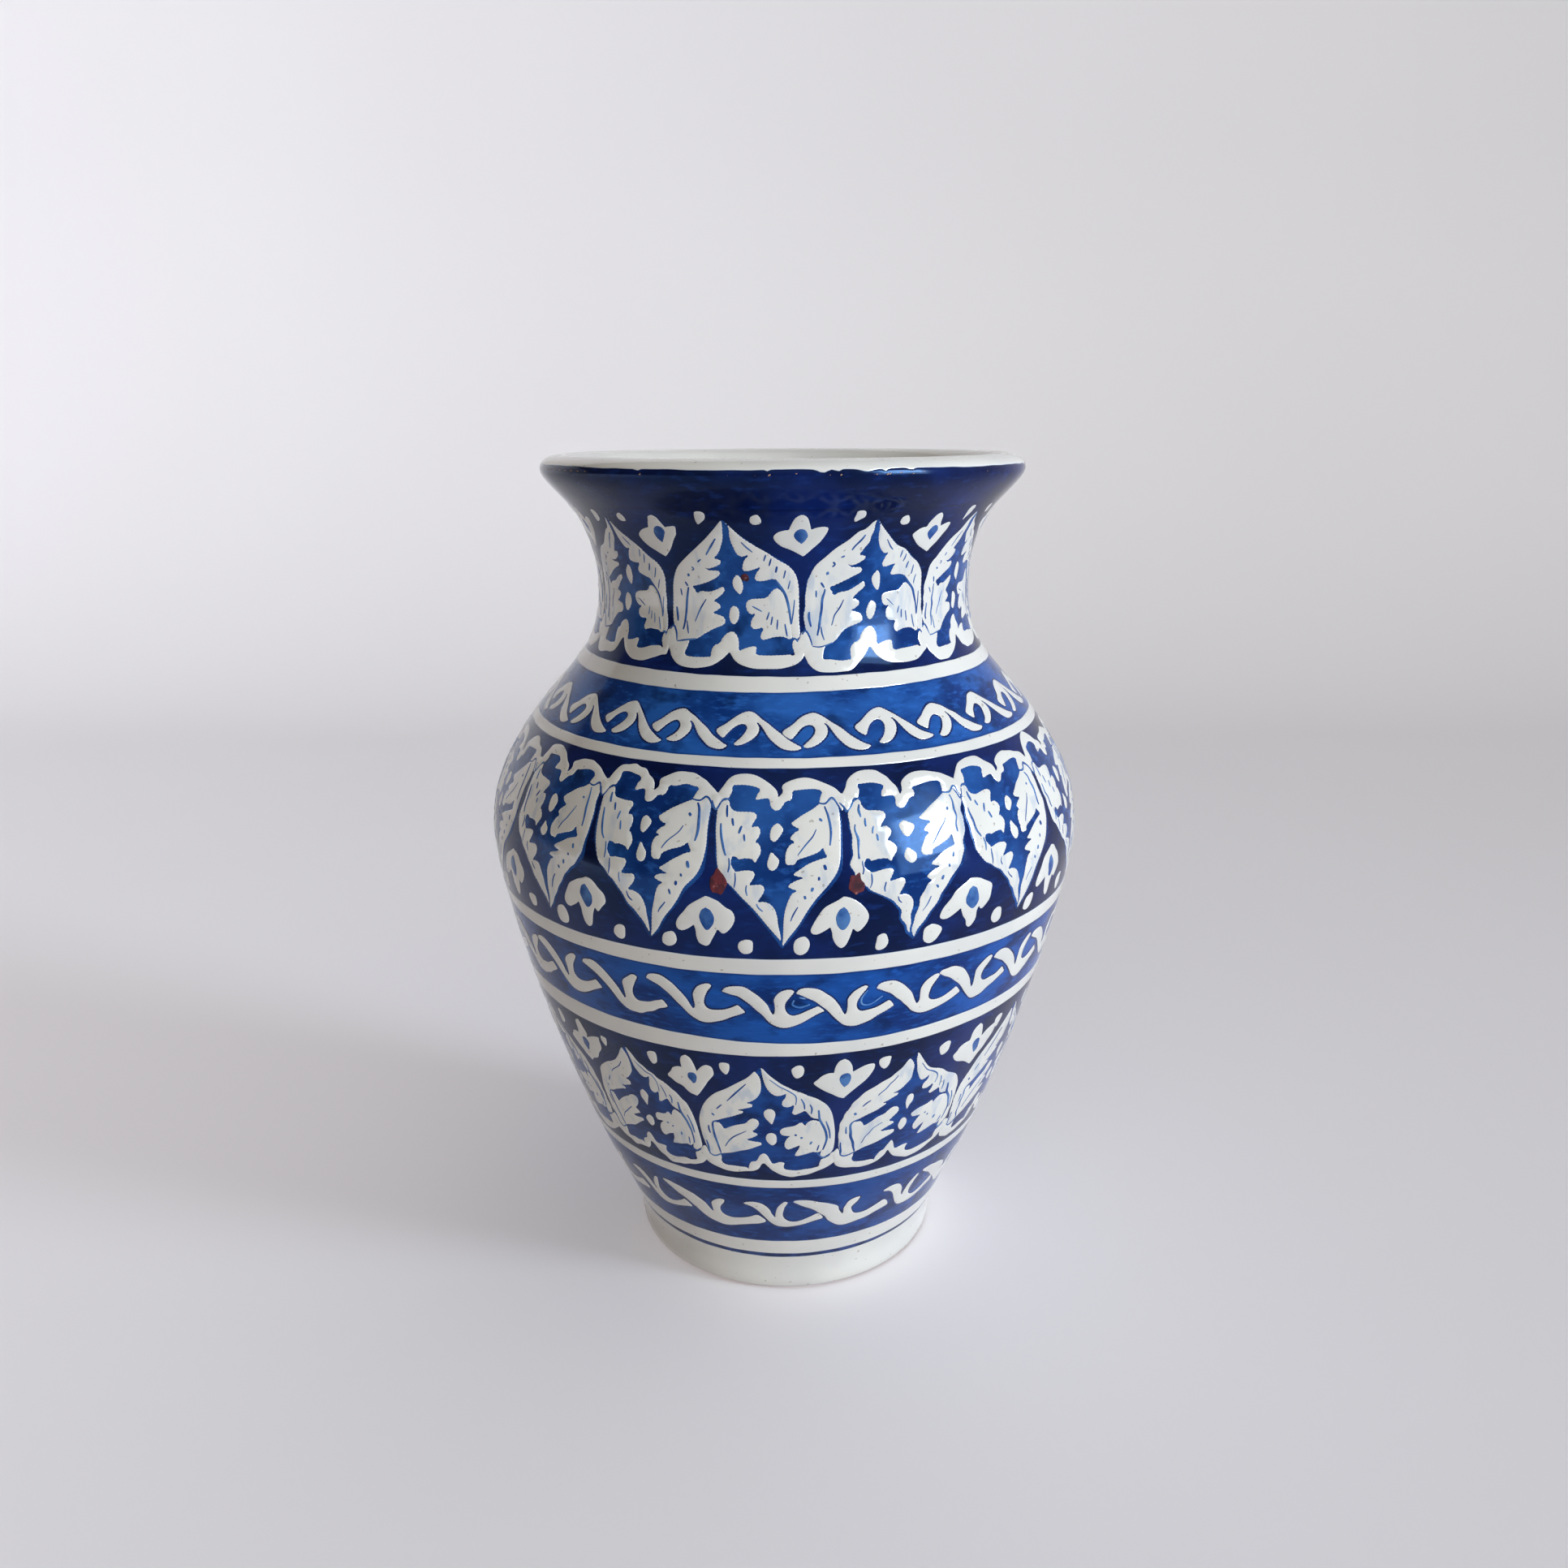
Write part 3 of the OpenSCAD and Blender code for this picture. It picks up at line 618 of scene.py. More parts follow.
WAIST_BRAID = {
    "starts": (-43, -28.5, -14, 0, 12.8, 26.7, 39), "count": 27,
    "rings": [(3, [(1.6, 139), (1.3, 137.2), (2.6, 136.1), (4.4, 137.2)], 0.7),
        (3, [(2.4, 139.9), (3.6, 139.3)], 0.6),
        (4, [(1.7, 141), (0.7, 138.2), (0.9, 135.8), (2.4, 135.4), (4.6, 138)], 0.6),
        (11, [(1.6, 139), (1.3, 137.2), (2.6, 136.1), (4.4, 137.2)], 0.6),
        (18, [(1.7, 141), (0.7, 138.2), (0.9, 135.8), (2.4, 135.4), (4.6, 138)], 0.6)],
    "strands": [[(-11, 142.1, 1), (-10.4, 143.5), (-9, 144.1), (-7.4, 143.8), (-5.8, 142),
        (-4.3, 139.4), (-3.2, 136.6), (-2.7, 134.6), (-2.2, 133, 1), (-1.9, 134.6), (-1.9, 137),
        (-1.9, 139.2), (-1.3, 141), (-0.3, 142.4), (0.8, 143.3), (1.6, 143.1), (1.5, 142),
        (0.8, 140.2), (0.1, 138.2), (-0.1, 136), (0.3, 134.4), (1.2, 133.7), (2.8, 134), (4.4, 135),
        (6, 136.3, 1), (7.1, 133.8, 1), (5, 132), (2.8, 129.9), (1, 128.7), (-0.5, 128.4),
        (-2, 129), (-3.4, 130.9), (-4.8, 133.8), (-6.4, 137), (-8, 139.5), (-9.6, 141)]],
}
FOOT_BRAID = {
    "starts": (-38.8, -18.3, 0.2, 19.9, 40.2), "count": 18,
    "strands": [
        [(-12, 46.2), (-10.6, 47.3), (-8.5, 47.4), (-6.5, 46.3), (-4.9, 43.6), (-4.1, 40.6),
         (-3.2, 38.4, 1), (-3.2, 41), (-2.7, 44), (-1.6, 46.2), (-0.3, 47.7), (0.4, 47),
         (-0.5, 44.2), (-1, 41), (-0.5, 38.3), (0.8, 36.7), (2.5, 36.3), (4.5, 37), (6.8, 38.8),
         (8.7, 40.4), (9.8, 39.3), (10.4, 37.3), (8, 36), (5, 34.5), (2, 33.6), (-0.5, 33.3),
         (-3, 34), (-5, 36.2), (-7, 40), (-8.3, 42.8), (-9.9, 44.8)],
        [(-18, 48.3), (-17, 48.9), (-14, 48.6), (-10.5, 47.3), (-7.5, 45.7), (-5.4, 43.6),
         (-4.5, 41.2), (-4, 39.6), (-3.3, 38.2, 1), (-3.2, 40), (-3.1, 42), (-2.5, 44.2),
         (-1.1, 46), (0.3, 46.9), (1.5, 46.7), (1.2, 45), (0, 43), (-0.7, 41), (-0.5, 39),
         (0.5, 37.6), (2.5, 37), (5, 37.4), (7.5, 38.6), (10, 40.2), (11.6, 38.8), (12.6, 36.7),
         (11, 35.5), (8, 34.6), (4, 33.2), (0, 32.1), (-2.5, 32.3), (-5, 33.5), (-7.2, 35.9),
         (-9, 38.7), (-11.5, 41.8), (-14, 44.2), (-16.5, 46.5)]],
}


# ---------- Finishes ----------

class Finish:
    """One glaze or clay finish, made of noise in the vase's own metres."""

    def __init__(self, name, roughness, level=0.5, sheen=(1, 1, 1)):
        self.material = bpy.data.materials.new(name)
        self.material.use_nodes = True
        tree = self.material.node_tree
        self.nodes, self.links = tree.nodes, tree.links
        self.shader = self.nodes["Principled BSDF"]
        self.shader.inputs["Roughness"].default_value = roughness
        self.shader.inputs["IOR"].default_value = 1.6
        self.shader.inputs["Specular IOR Level"].default_value = level
        self.shader.inputs["Specular Tint"].default_value = (*sheen, 1)
        self.place = self.nodes.new("ShaderNodeTexCoord").outputs["Object"]

    def noise(self, size, detail=2.0, squash=1.0, seed=0):
        """Noise with features about that many mm across; squash makes them that much less high."""
        mapping = self.nodes.new("ShaderNodeMapping")
        mapping.inputs["Scale"].default_value = (1, 1, squash)
        mapping.inputs["Location"].default_value = (0.31 * seed, 0.17 * seed, 0.11 * seed)
        texture = self.nodes.new("ShaderNodeTexNoise")
        texture.inputs["Scale"].default_value = 0.5 / (size * MM)
        texture.inputs["Detail"].default_value = detail
        self.links.new(self.place, mapping.inputs["Vector"])
        self.links.new(mapping.outputs["Vector"], texture.inputs["Vector"])
        return texture.outputs["Fac"]

    def inner(self):
        """0 at the edge of a painted shape and 1 well inside it."""
        node = self.nodes.new("ShaderNodeAttribute")
        node.attribute_name = "inner"
        return node.outputs["Fac"]

    def clamp(self, value, low, high, least=0.0, most=1.0):
        """The value from low to high, brought to least to most."""
        node = self.nodes.new("ShaderNodeMapRange")
        node.interpolation_type = "SMOOTHSTEP"
        for socket, number in zip(node.inputs[1:5], (low, high, least, most)):
            socket.default_value = number
        self.links.new(value, node.inputs["Value"])
        return node.outputs["Result"]

    def times(self, a, b):
        node = self.nodes.new("ShaderNodeMath")
        node.operation = "MULTIPLY"
        for socket, value in zip(node.inputs, (a, b)):
            if isinstance(value, (int, float)):
                socket.default_value = value
            else:
                self.links.new(value, socket)
        return node.outputs["Value"]

    def mix(self, share, a, b):
        """Colour a, going over to b where share is 1."""
        node = self.nodes.new("ShaderNodeMix")
        node.data_type = "RGBA"
        self.links.new(share, node.inputs[0])
        for socket, colour in zip((node.inputs[6], node.inputs[7]), (a, b)):
            if isinstance(colour, tuple):
                socket.default_value = (*colour, 1)
            else:
                self.links.new(colour, socket)
        return node.outputs[2]

    def colour(self, value):
        self.links.new(value, self.shader.inputs["Base Color"])

    def roughness(self, value):
        self.links.new(value, self.shader.inputs["Roughness"])

    def bumps(self, *heights):
        """Each height is (value, mm from its lowest to its highest)."""
        normal = None
        for value, high in heights:
            node = self.nodes.new("ShaderNodeBump")
            node.inputs["Distance"].default_value = high * MM
            self.links.new(value, node.inputs["Height"])
            if normal is not None:
                self.links.new(normal, node.inputs["Normal"])
            normal = node.outputs["Normal"]
        self.links.new(normal, self.shader.inputs["Normal"])


# Colour that the blue glazes give to what they mirror
BLUE_SHEEN = (0.26, 0.52, 1.0)


def glaze_bumps(finish, seed):
    """The slow unevenness of the throwing under the fine skin of the glaze."""
    finish.bumps((finish.noise(9, 1.0, seed=seed), 0.10),
                 (finish.noise(1.6, 1.0, seed=seed + 1), 0.008))


def white_finish(name, thin):
    """Tin-white glaze: cloudy, speckled, and bluish where it thins out at its edges."""
    f = Finish(name, 0.1, 0.6)
    cloud = f.mix(f.clamp(f.noise(16, 3.0), 0.35, 0.7), (0.88, 0.875, 0.85), (0.79, 0.79, 0.78))
    if thin:
        worn = f.times(f.clamp(f.noise(2.6, 4.0, 0.35, seed=3), 0.52, 0.70), 0.6)
        cloud = f.mix(worn, cloud, (0.50, 0.60, 0.76))
    edge = f.clamp(f.inner(), 0.0, 0.18, 0.7, 0.0)
    cloud = f.mix(edge, cloud, (0.30, 0.43, 0.68))
    speck = f.times(f.clamp(f.noise(0.9, 1.0, seed=5), 0.73, 0.78), 0.55)
    f.colour(f.mix(speck, cloud, (0.30, 0.25, 0.20)))
    f.roughness(f.clamp(f.noise(5, 2.0, seed=7), 0.3, 0.7, 0.06, 0.16))
    glaze_bumps(f, 9)
    return f.material


def cobalt_finish():
    """Deep cobalt, nearly black where it lies thick."""
    f = Finish("cobalt_glaze", 0.1, 0.22, BLUE_SHEEN)
    deep = f.mix(f.clamp(f.noise(14, 4.0), 0.35, 0.68),
                 (0.0025, 0.006, 0.042), (0.006, 0.018, 0.13))
    streak = f.times(f.clamp(f.noise(3, 3.0, 3.0, seed=2), 0.52, 0.75), 0.5)
    deep = f.mix(streak, deep, (0.009, 0.036, 0.21))
    f.colour(f.mix(f.clamp(f.inner(), 0.0, 0.5, 0.6, 0.0), deep, (0.004, 0.007, 0.040)))
    f.roughness(f.clamp(f.noise(5, 2.0, seed=7), 0.3, 0.7, 0.06, 0.15))
    glaze_bumps(f, 12)
    return f.material


def blue_finish(name, thin, full, squash, edge):
    """Thinned cobalt laid on with a brush: streaks along the stroke, darker pools in it."""
    f = Finish(name, 0.1, 0.2, BLUE_SHEEN)
    wash = f.mix(f.clamp(f.noise(11, 4.0, squash, seed=1), 0.36, 0.64), full, thin)
    lines = f.times(f.clamp(f.noise(2.2, 4.0, squash * 2.2, seed=4), 0.50, 0.72), 0.7)
    wash = f.mix(lines, wash, tuple(c * 1.25 for c in thin))
    pools = f.times(f.clamp(f.noise(6, 3.0, squash, seed=6), 0.54, 0.72), 0.8)
    wash = f.mix(pools, wash, tuple(c * 0.45 for c in full))
    f.colour(f.mix(f.clamp(f.inner(), 0.0, 0.6, edge, 0.0), wash, tuple(c * 0.8 for c in full)))
    f.roughness(f.clamp(f.noise(5, 2.0, seed=7), 0.3, 0.7, 0.06, 0.16))
    glaze_bumps(f, 15)
    return f.material


def line_finish(name, deep, pale, seed):
    """The blue of brush lines, flower centres and the foot stripe, and of the braid strands' dark
    outline and painted shadow.
    """
    f = Finish(name, 0.12, 0.24, BLUE_SHEEN)
    f.colour(f.mix(f.clamp(f.noise(3, 3.0), 0.35, 0.68), deep, pale))
    glaze_bumps(f, seed)
    return f.material


def inside_finish():
    """Thin grey-white glaze with the turning rings of the wall showing through."""
    f = Finish("inside_glaze", 0.2)
    base = f.mix(f.clamp(f.noise(22, 3.0), 0.35, 0.7), (0.66, 0.65, 0.60), (0.54, 0.54, 0.51))
    speck = f.times(f.clamp(f.noise(1.1, 1.0, seed=5), 0.72, 0.78), 0.6)
    f.colour(f.mix(speck, base, (0.28, 0.22, 0.17)))
    f.roughness(f.clamp(f.noise(7, 2.0, seed=7), 0.3, 0.7, 0.12, 0.28))
    rings = f.noise(5, 1.0, 12.0, seed=8)
    f.bumps((rings, 0.12), (f.noise(1.6, 1.0, seed=9), 0.01))
    return f.material


def clay_finish(name, light, dark, fleck, fine):
    """Unglazed earthenware. fine is the grain in mm, and fleck the colour of its grog."""
    f = Finish(name, 0.85, 0.3)
    grain = f.mix(f.clamp(f.noise(fine, 4.0), 0.35, 0.7), light, dark)
    grog = f.times(f.clamp(f.noise(fine * 0.6, 2.0, seed=4), 0.58, 0.70), 0.7)
    f.colour(f.mix(grog, grain, fleck))
    f.bumps((f.noise(7, 2.0, 9.0, seed=2), 0.08), (f.noise(0.8, 3.0, seed=3), 0.05))
    return f.material


white = white_finish("white_glaze", False)
white_paint = white_finish("white_paint", True)
cobalt = cobalt_finish()
braid_blue = blue_finish("braid_blue", (0.022, 0.120, 0.46), (0.005, 0.040, 0.22), 1.8, 0.7)
deep_blue = blue_finish("deep_blue", (0.012, 0.092, 0.42), (0.003, 0.029, 0.18), 1.8, 0.7)
low_blue = blue_finish("low_blue", (0.010, 0.066, 0.31), (0.003, 0.020, 0.135), 1.3, 0.6)
field_blue = blue_finish("field_blue", (0.020, 0.098, 0.37), (0.004, 0.030, 0.17), 0.9, 0.55)
touch_blue = line_finish("touch_blue", (0.016, 0.070, 0.30), (0.09, 0.22, 0.52), 18)
# Dark blue of the foot stripe, also used for the dark line round the braid strands, which is partly a
# painted shadow
stripe_and_shadow_blue = line_finish("stripe_and_shadow_blue", (0.006, 0.014, 0.085), (0.020, 0.055, 0.25), 21)
pale_blue = line_finish("pale_blue", (0.06, 0.20, 0.56), (0.20, 0.40, 0.74), 24)
inside_white = inside_finish()
biscuit = clay_finish("biscuit_clay", (0.50, 0.30, 0.19), (0.38, 0.20, 0.12),
                      (0.14, 0.07, 0.045), 1.2)
red_clay = clay_finish("bare_clay", (0.17, 0.018, 0.028), (0.035, 0.004, 0.015),
                       (0.42, 0.17, 0.17), 1.6)

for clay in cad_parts.values():
    clay.data.materials.clear()
    clay.data.materials.append(biscuit)


# ---------- Layers of glaze ----------

def level(s):
    """An edge at one distance along the outline all round."""
    return lambda angle: np.full(len(angle), s)


def edge_of(height, seed):
    """A painted edge at a height on the outside, as distance along the outline by angle."""
    shake = wobble(seed)
    return lambda angle: surface.along(height) + shake(angle)


def degrees_off(angle, at):
    """Degrees from a place on the round, from -180 to 180."""
    return (np.degrees(angle) - at + 180) % 360 - 180


# Chips in the blue at the lip: (degrees, width in degrees, depth in mm)
RIM_CHIPS = ((8, 1.2, 1.1), (11, 0.7, 0.8), (17, 1.6, 0.9), (21, 0.6, 0.7), (27, 0.9, 0.6),
             (-31, 0.6, 0.6), (-3, 0.5, 0.5), (74, 1.1, 0.7), (129, 0.9, 0.8), (208, 1.3, 0.9),
             (262, 0.7, 0.6))


def rim_edge(angle):
    """Where the blue of the neck stops against the white lip, with its chips."""
    shake = wobble(71, 0.5, 0.16)
    line = surface.along(height_limits("rim_band")[1]) + shake(angle)
    for at, wide, deep in RIM_CHIPS:
        line = line - deep * np.exp(-(degrees_off(angle, at) / wide) ** 2)
    return line


# How far the painter's hand strays at a band's lower edge:
# (mm all round, mm more at, degrees, spread)
SWAY = {"foot_braid": (0.7, 0, 0, 30), "lower_belly_line": (-0.4, 0, 0, 30),
        "upper_base_line": (-0.4, 1.6, 50, 35), "waist_braid": (1.5, -1.6, 8, 22),
        "shoulder_line": (-0.5, 0.8, 50, 50)}


def swaying(node, seed):
    """The lower edge of a band, as far off as SWAY says."""
    all_round, more, at, spread = SWAY.get(node, (0, 0, 0, 30))
    line = edge_of(height_limits(node)[0], seed)
    return lambda angle: (line(angle) + all_round
                          + more * np.exp(-(degrees_off(angle, at) / spread) ** 2))


# The finish of each layer, its slot, and how far it stands up in mm
PLAN = {node: (white, "white_glaze", 0.12) for node in BANDS if node.endswith("_line")}
PLAN |= {node: (cobalt, "cobalt_glaze", 0.0) for node in BANDS if node.endswith("_band")}
PLAN |= {node: (white, "white_glaze", 0.0) for node in ("foot_glaze", "foot_line")}
PLAN |= {"foot_stripe": (stripe_and_shadow_blue, "cobalt_glaze", 0.0),
         "foot_braid": (low_blue, "blue_glaze", 0.0),
         "waist_braid": (deep_blue, "blue_glaze", 0.0),
         "shoulder_braid": (braid_blue, "blue_glaze", 0.0)}

edges = [level(surface.s[0])]
edges += [swaying(node, 20 + k) for k, node in enumerate(BANDS[1:])]
edges.append(rim_edge)
for node, low, high in zip(BANDS, edges, edges[1:]):
    material, slot, lift = PLAN[node]
    layer(node + "_paint", low, high, material, slot, node, lift)
lip_inner = surface.down_inside(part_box("inside_glaze")[1][2] / MM)
layer("lip_glaze_coat", rim_edge, level(lip_inner), white, "white_glaze", "lip_glaze", 0.1,
      step=0.9)
layer("inside_glaze_coat", level(lip_inner), level(surface.s[-1]), inside_white, "inside_glaze",
      "inside_glaze", step=3.2, around=240)


# ---------- Painted friezes and braids ----------

# How far each kind of brushwork stands over the glaze that it lies on, in mm
WASH_LIFT, LINE_LIFT, LEAF_LIFT, WHITE_LIFT, CLOUD_LIFT = 0.04, 0.03, 0.09, 0.1, 0.11
# How far brushwork laid on other brushwork starts above the glaze, in mm
OVER_LEAVES, OVER_WASH, OVER_ALL = 0.13, 0.04, 0.15


def unsteady(rng, amount):
    """A gentle shift of points in mm, so that no two motifs come out the same."""
    waves = []
    for length, size in ((60, 0.45), (26, 0.35), (11, 0.22), (5, 0.10)):
        for _ in range(2):
            turn = rng.uniform(0, TURN)
            waves.append((math.cos(turn) * TURN / length, math.sin(turn) * TURN / length,
                          rng.uniform(0, TURN),
                          rng.gauss(0, size * amount), rng.gauss(0, size * amount)))

    def shift(xy):
        out = xy.copy()
        for kx, ky, start, dx, dy in waves:
            out += np.sin(xy[:, 0] * kx + xy[:, 1] * ky + start)[:, None] * np.array([dx, dy])
        return out
    return shift


def around_from(given, count):
    """Degrees of count places round the vase: those given, then the rest evenly to close it."""
    rest = count - len(given) + 1
    gap = (360 + given[0] - given[-1]) / rest
    return list(given) + [given[-1] + gap * k for k in range(1, rest)]


def cells(design):
    """Start and end in degrees of every motif round the vase."""
    starts = around_from(design["edges"], design["count"])
    return list(zip(starts, starts[1:] + [360 + starts[0]]))


class Ground:
    """The flat drawing surface of a band: mm round it and mm along the outline."""

    def __init__(self, node):
        low, high = height_limits(node)
        self.radius = surface.radius((low + high) / 2)

    def draw(self, points):
        """Points of a design in mm on the flat surface, with their corner marks."""
        return [(math.radians(p[0]) * self.radius, float(surface.along(p[1])), *p[2:])
                for p in points]

    def shapes(self, outlines, step, lift, wider=0.0):
        """A patch for each outline of a design, made wider all round by some mm."""
        curves = [closed_curve(self.draw(points), step) for points in outlines]
        return [Patch(grown(curve, wider) if wider else curve, lift) for curve in curves]

    def brush_line(self, points, width):
        """A patch for one touch of a fine brush."""
        line = [p[:2] for p in self.draw(points)]
        return Patch(stroke(line, width), LINE_LIFT, edge=0.15)


def frieze(name, node, design, seed, field):
    """A band of motifs, each fitted between its own two edges and drawn a little differently."""
    ground = Ground(node)
    kinds = {
        "field": (field, "blue_glaze", ground.shapes([design["field"]], 0.9, WASH_LIFT)),
        "leaves": (white_paint, "white_glaze",
                   ground.shapes(design["leaves"], 0.55, LEAF_LIFT, 0.25)),
        "cloud": (white, "white_glaze", ground.shapes([design["cloud"]], 0.55, CLOUD_LIFT, 0.2)),
        "blossom": (white, "white_glaze",
                    ground.shapes(design["drops"] + design["flowers"] + design["dots"],
                                  0.45, WHITE_LIFT)),
        "touches": (touch_blue, "blue_glaze",
                    ground.shapes(design["hearts"], 0.4, LINE_LIFT)
                    + [ground.brush_line(points, width) for points, width in design["veins"]]),
    }
    start, end = (math.radians(a) * ground.radius for a in design["cell"])
    for kind, (material, slot, patches) in kinds.items():
        paint = Paint(f"{name}_{kind}", material, slot)
        for k, (a, b) in enumerate(cells(design)):
            own = random.Random(seed * 100 + k)
            # The motif that the design was drawn from keeps its shape best
            given = abs(a - design["cell"][0]) < 0.1
            shift = unsteady(own, 0.25 if given else 1.0)
            rise = 0 if given else own.uniform(-0.5, 0.5)

            def to_surface(xy, a=a, b=b, shift=shift, rise=rise):
                xy = shift(xy)
                share = (xy[:, 0] - start) / (end - start)
                return np.radians(a + (b - a) * share), xy[:, 1] + rise
            for patch in patches:
                paint.add(patch, to_surface, OVER_LEAVES if kind == "touches" else 0.0)
        paint.build()


def braid(name, node, design, seed):
    """A band of white strands, each in a dark blue outline that is partly a painted shadow, and small
    rings in some loops.
    """
    ground = Ground(node)
    starts = around_from(design["starts"], design["count"])
    outlines = [grown(closed_curve(ground.draw(points), 0.5), 0.12)
                for points in design["strands"]]
    # Dark blue rim round each strand: partly the painter's outline, partly a painted shadow of the
    # raised strand
    outline_shadows = [Patch(grown(outline, 0.6), LINE_LIFT) for outline in outlines]
    strands = [Patch(outline, WHITE_LIFT) for outline in outlines]
    for label, patches, material, slot in (("outline_and_shadow", outline_shadows, stripe_and_shadow_blue, "cobalt_glaze"),
                                           ("strands", strands, white, "white_glaze")):
        paint = Paint(f"{name}_{label}", material, slot)
        for k, start in enumerate(starts):
            own = random.Random(seed * 100 + k)
            shift = unsteady(own, 0.5)
            rise = own.uniform(-0.35, 0.35)

            def to_surface(xy, turn=math.radians(start), rise=rise, shift=shift):
                xy = shift(xy)
                return xy[:, 0] / ground.radius + turn, xy[:, 1] + rise
            paint.add(patches[k % len(patches)], to_surface)
        paint.build()
    rings = Paint(f"{name}_rings", pale_blue, "blue_glaze")
    for k, points, width in design.get("rings", ()):
        turn = math.radians(starts[k])
        rings.add(ground.brush_line(points, width),
                  lambda xy, turn=turn: (xy[:, 0] / ground.radius + turn, xy[:, 1]), OVER_WASH)
    rings.build()


def blot(rng, at, size, ground):
    """An uneven spot in mm at (degrees, height)."""
    x, y = ground.draw([at])[0]
    return [(x + size[0] / 2 * math.cos(t) * k, y + size[1] / 2 * math.sin(t) * k)
            for t, k in ((TURN * n / 11, rng.uniform(0.75, 1.15)) for n in range(11))]


# Where clay shows through: band, (degrees, height), (mm across, mm high)
CHIPS = (("belly_band", (-10.7, 178.6), (5.2, 8.0)), ("belly_band", (11.6, 177.6), (4.6, 7.0)),
         ("neck_band", (-10.2, 264.2), (2.6, 2.8)), ("belly_band", (151, 181), (3.2, 3.8)),
         ("base_band", (214, 104), (2.6, 2.4)))


def chips():
    """Red clay and stain that show through small faults in the glaze."""
    rng = random.Random(77)
    paint = Paint("glaze_chips", red_clay, "biscuit_clay")
    for node, at, size in CHIPS:
        ground = Ground(node)
        patch = Patch(closed_curve(blot(rng, at, size, ground), 0.35), LINE_LIFT, grid=0.8)
        paint.add(patch, lambda xy, ground=ground: (xy[:, 0] / ground.radius, xy[:, 1]),
                  OVER_ALL)
    paint.build()


chips()
frieze("neck", "neck_band", NECK, 1, field_blue)
frieze("belly", "belly_band", BELLY, 2, field_blue)
frieze("base", "base_band", BASE, 3, low_blue)
braid("shoulder_braid", "shoulder_braid", SHOULDER_BRAID, 4)
braid("waist_braid", "waist_braid", WAIST_BRAID, 5)
braid("foot_braid", "foot_braid", FOOT_BRAID, 6)


# ---------- Studio ----------

def plain(name, colour, roughness):
    """Paper: one colour with the faintest cloudiness."""
    f = Finish(name, roughness, 0.2)
    f.colour(f.mix(f.clamp(f.noise(300, 2.0), 0.3, 0.7), colour,
                   tuple(c * 0.985 for c in colour)))
    return f.material


def sweep():
    """Pale floor that curves up into a back wall."""
    bend, back, front, high, half = 0.7, 1.5, -9.0, 1.8, 9.0
    line = [(front, 0.0)] + [(y, 0.0) for y in np.linspace(-1, back - bend, 12)]
    line += [(back - bend + bend * math.sin(t), bend - bend * math.cos(t))
             for t in np.linspace(0.05, math.pi / 2, 24)]
    line.append((back, high))
    mesh = bpy.data.meshes.new("sweep")
    verts = [(x, y, z) for y, z in line for x in (-half, half)]
    faces = [(2 * k, 2 * k + 1, 2 * k + 3, 2 * k + 2) for k in range(len(line) - 1)]
    mesh.from_pydata(verts, [], faces)
    mesh.materials.append(plain("studio_paper", (0.85, 0.83, 0.835), 0.7))
    mesh.shade_smooth()
    obj = bpy.data.objects.new("sweep", mesh)
    bpy.context.scene.collection.objects.link(obj)
    # The paper throws no light: surroundings() stands in for what it would send up
    obj.visible_diffuse = obj.visible_shadow = False
    return obj


def area_light(name, at, aim, size, power, colour, paper, state, shadows=True, spread=180):
    """A soft light that lights only the paper (state INCLUDE) or all but the paper (EXCLUDE).

    spread is in degrees. Without shadows, the vase throws none in this light."""
    light = bpy.data.lights.new(name, "AREA")
    light.shape = "RECTANGLE"
    light.size, light.size_y = size
    light.energy = power
    light.color = colour
    light.spread = math.radians(spread)
    obj = bpy.data.objects.new(name, light)
    obj.location = at
    obj.rotation_euler = (Vector(aim) - Vector(at)).to_track_quat("-Z", "Y").to_euler()
    bpy.context.scene.collection.objects.link(obj)
    lit = bpy.data.collections.new(name + "_lights")
    lit.objects.link(paper)
    lit.collection_objects[0].light_linking.link_state = state
    obj.light_linking.receiver_collection = lit
    if not shadows:
        obj.light_linking.blocker_collection = lit
    return obj


# Light from the room: a colour all round, then others laid over it where the direction lies
# towards them. Each is (towards, where it starts, where it is full, colour).
ROOM = (0.305, 0.262, 0.214)
ROOM_PARTS = (((0, 1, 0), -0.9, 0.7, (0.56, 0.55, 0.60)),                # pale wall behind
              ((-1, 0, 0), 0.60, 1.0, (0.12, 0.096, 0.075)),             # dim room on the left
              ((-0.15, -0.45, 0.88), 0.45, 0.95, (0.74, 0.70, 0.64)),    # ceiling in front
              ((-0.70, 0.20, 0.68), 0.38, 0.88, (0.11, 0.095, 0.08)),    # dim upper left
              ((-0.60, 0.10, -0.79), 0.4, 0.95, (0.10, 0.085, 0.07)),    # floor in the shadow
              ((0.60, -0.35, -0.72), 0.2, 0.95, (0.66, 0.66, 0.68)))     # floor in daylight


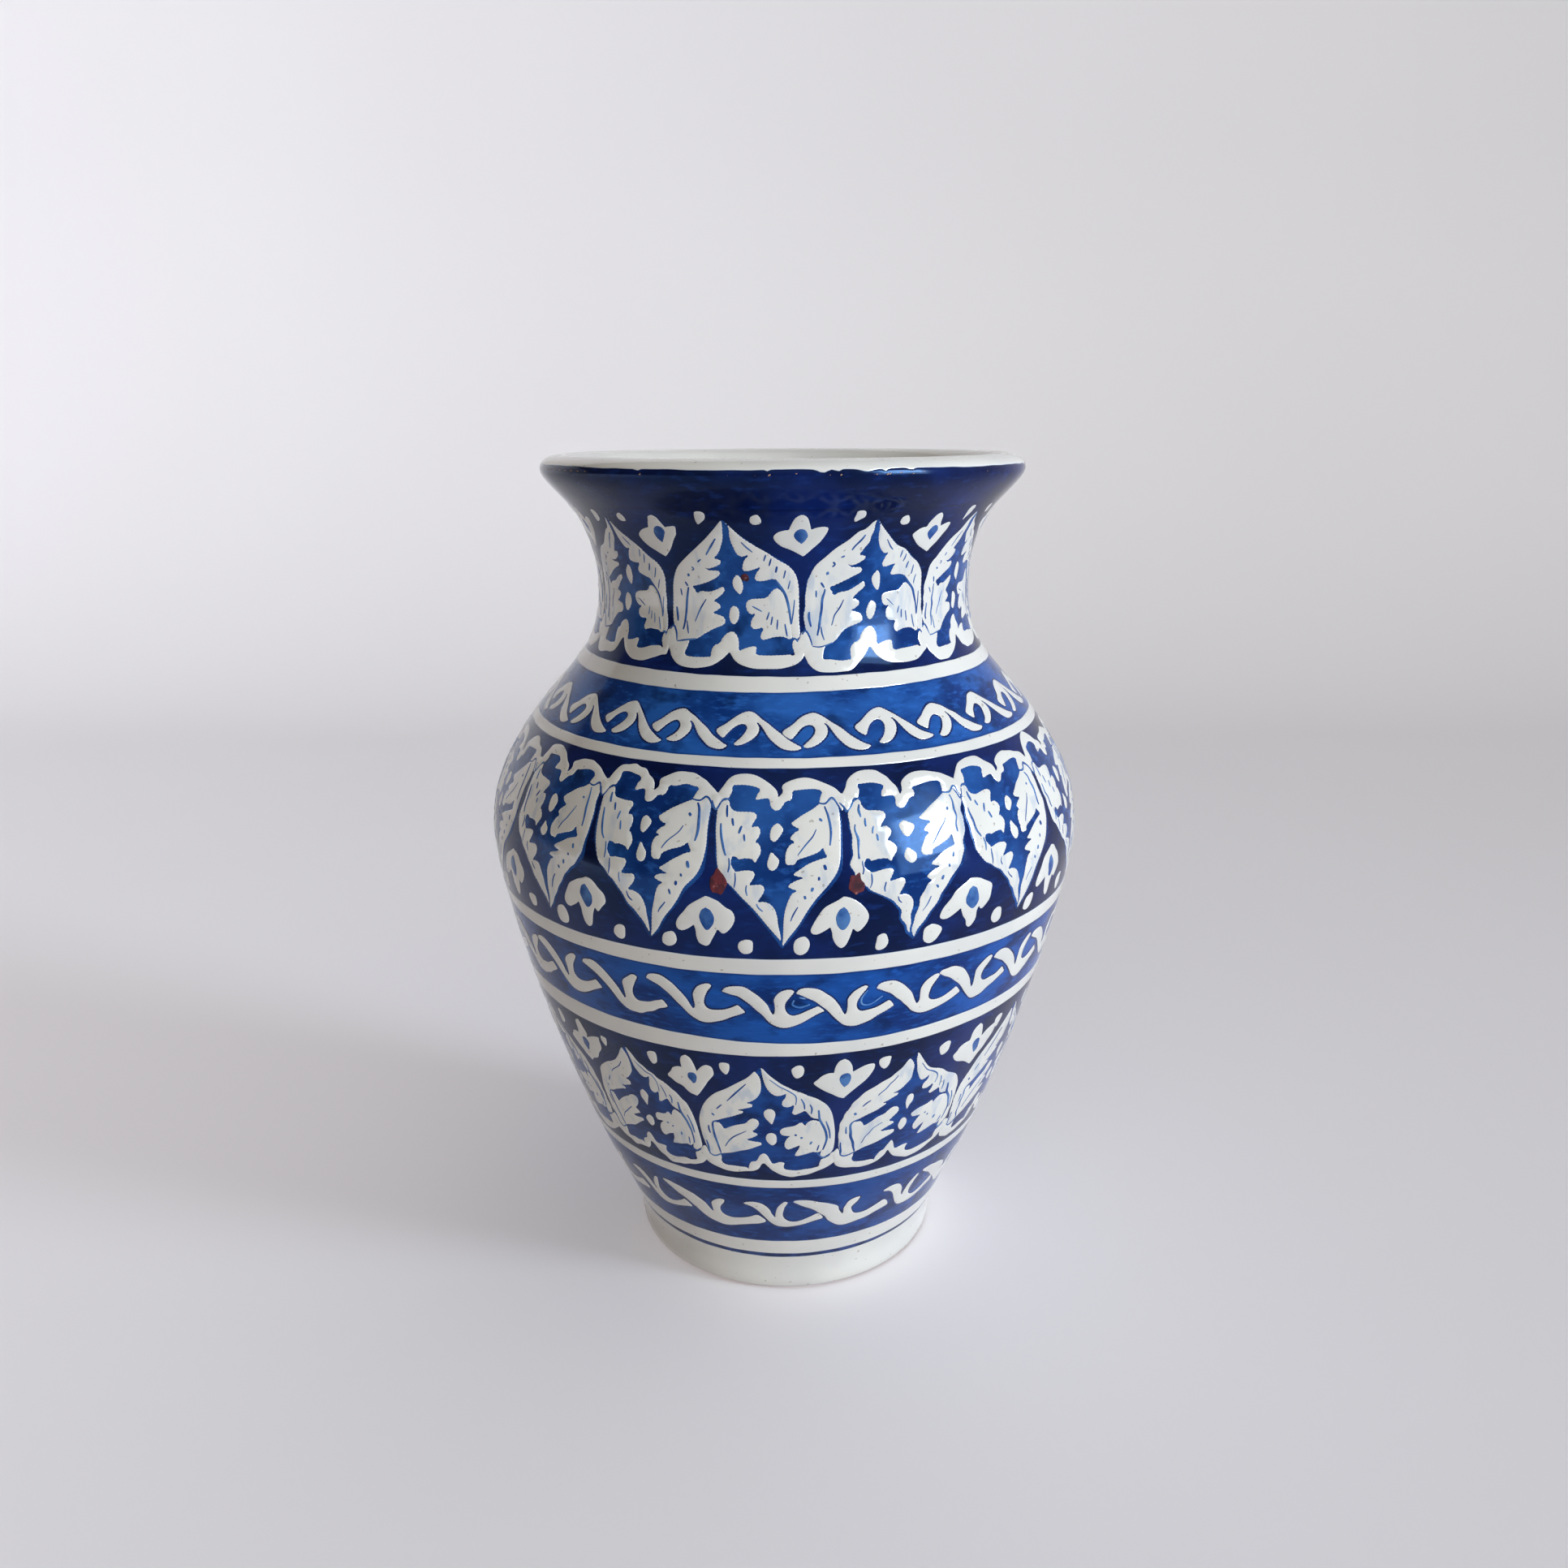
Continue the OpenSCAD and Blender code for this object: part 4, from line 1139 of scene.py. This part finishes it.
def surroundings():
    """The room's light as the world's colour by direction."""
    world = bpy.data.worlds.new("studio")
    world.use_nodes = True
    nodes, links = world.node_tree.nodes, world.node_tree.links
    place = nodes.new("ShaderNodeTexCoord").outputs["Generated"]
    colour = (*ROOM, 1)
    for toward, low, high, tone in ROOM_PARTS:
        along = nodes.new("ShaderNodeVectorMath")
        along.operation = "DOT_PRODUCT"
        along.inputs[1].default_value = toward
        links.new(place, along.inputs[0])
        ramp = nodes.new("ShaderNodeMapRange")
        ramp.interpolation_type = "SMOOTHSTEP"
        for socket, number in zip(ramp.inputs[1:5], (low, high, 0.0, 1.0)):
            socket.default_value = number
        links.new(along.outputs["Value"], ramp.inputs["Value"])
        mix = nodes.new("ShaderNodeMix")
        mix.data_type = "RGBA"
        links.new(ramp.outputs["Result"], mix.inputs[0])
        if isinstance(colour, tuple):
            mix.inputs[6].default_value = colour
        else:
            links.new(colour, mix.inputs[6])
        mix.inputs[7].default_value = (*tone, 1)
        colour = mix.outputs[2]
    links.new(colour, nodes["Background"].inputs["Color"])
    bpy.context.scene.world = world


paper = sweep()
surroundings()
area_light("window", (0.99, -0.73, 0.58), (0, 0, 0.18), (0.62, 0.9), 11.2, (0.80, 0.92, 1.0),
           paper, "EXCLUDE")
# The bright panes themselves, seen only mirrored in the glaze
panes = area_light("window_panes", (0.98, -0.72, 0.62), (0, 0, 0.18), (0.46, 0.5), 16,
                   (0.82, 0.93, 1.0), paper, "EXCLUDE")
panes.visible_diffuse = False
area_light("window_on_paper", (9.0, -2.83, 2.6), (-3.0, 0.9, 0), (2.4, 1.9), 34,
           (0.74, 0.86, 1.0), paper, "INCLUDE", spread=40)
area_light("paper_light", (-2.2, -0.9, 1.1), (-0.2, 0.9, 0.4), (0.8, 0.8), 44,
           (0.87, 0.90, 1.0), paper, "INCLUDE", shadows=False)

CAMERA_AT = (0, -0.456, 0.3097)
PITCH, ROLL = math.radians(16.01), math.radians(0.26)
camera_data = bpy.data.cameras.new("camera")
camera_data.sensor_width = 36
camera_data.lens = 28.83
camera_data.clip_start = 0.01
camera = bpy.data.objects.new("camera", camera_data)
camera.matrix_world = (Matrix.Translation(CAMERA_AT)
                       @ Matrix.Rotation(math.pi / 2 - PITCH, 4, "X")
                       @ Matrix.Rotation(-ROLL, 4, "Z"))
bpy.context.scene.collection.objects.link(camera)
bpy.context.scene.camera = camera
bpy.context.scene.view_settings.view_transform = "Standard"
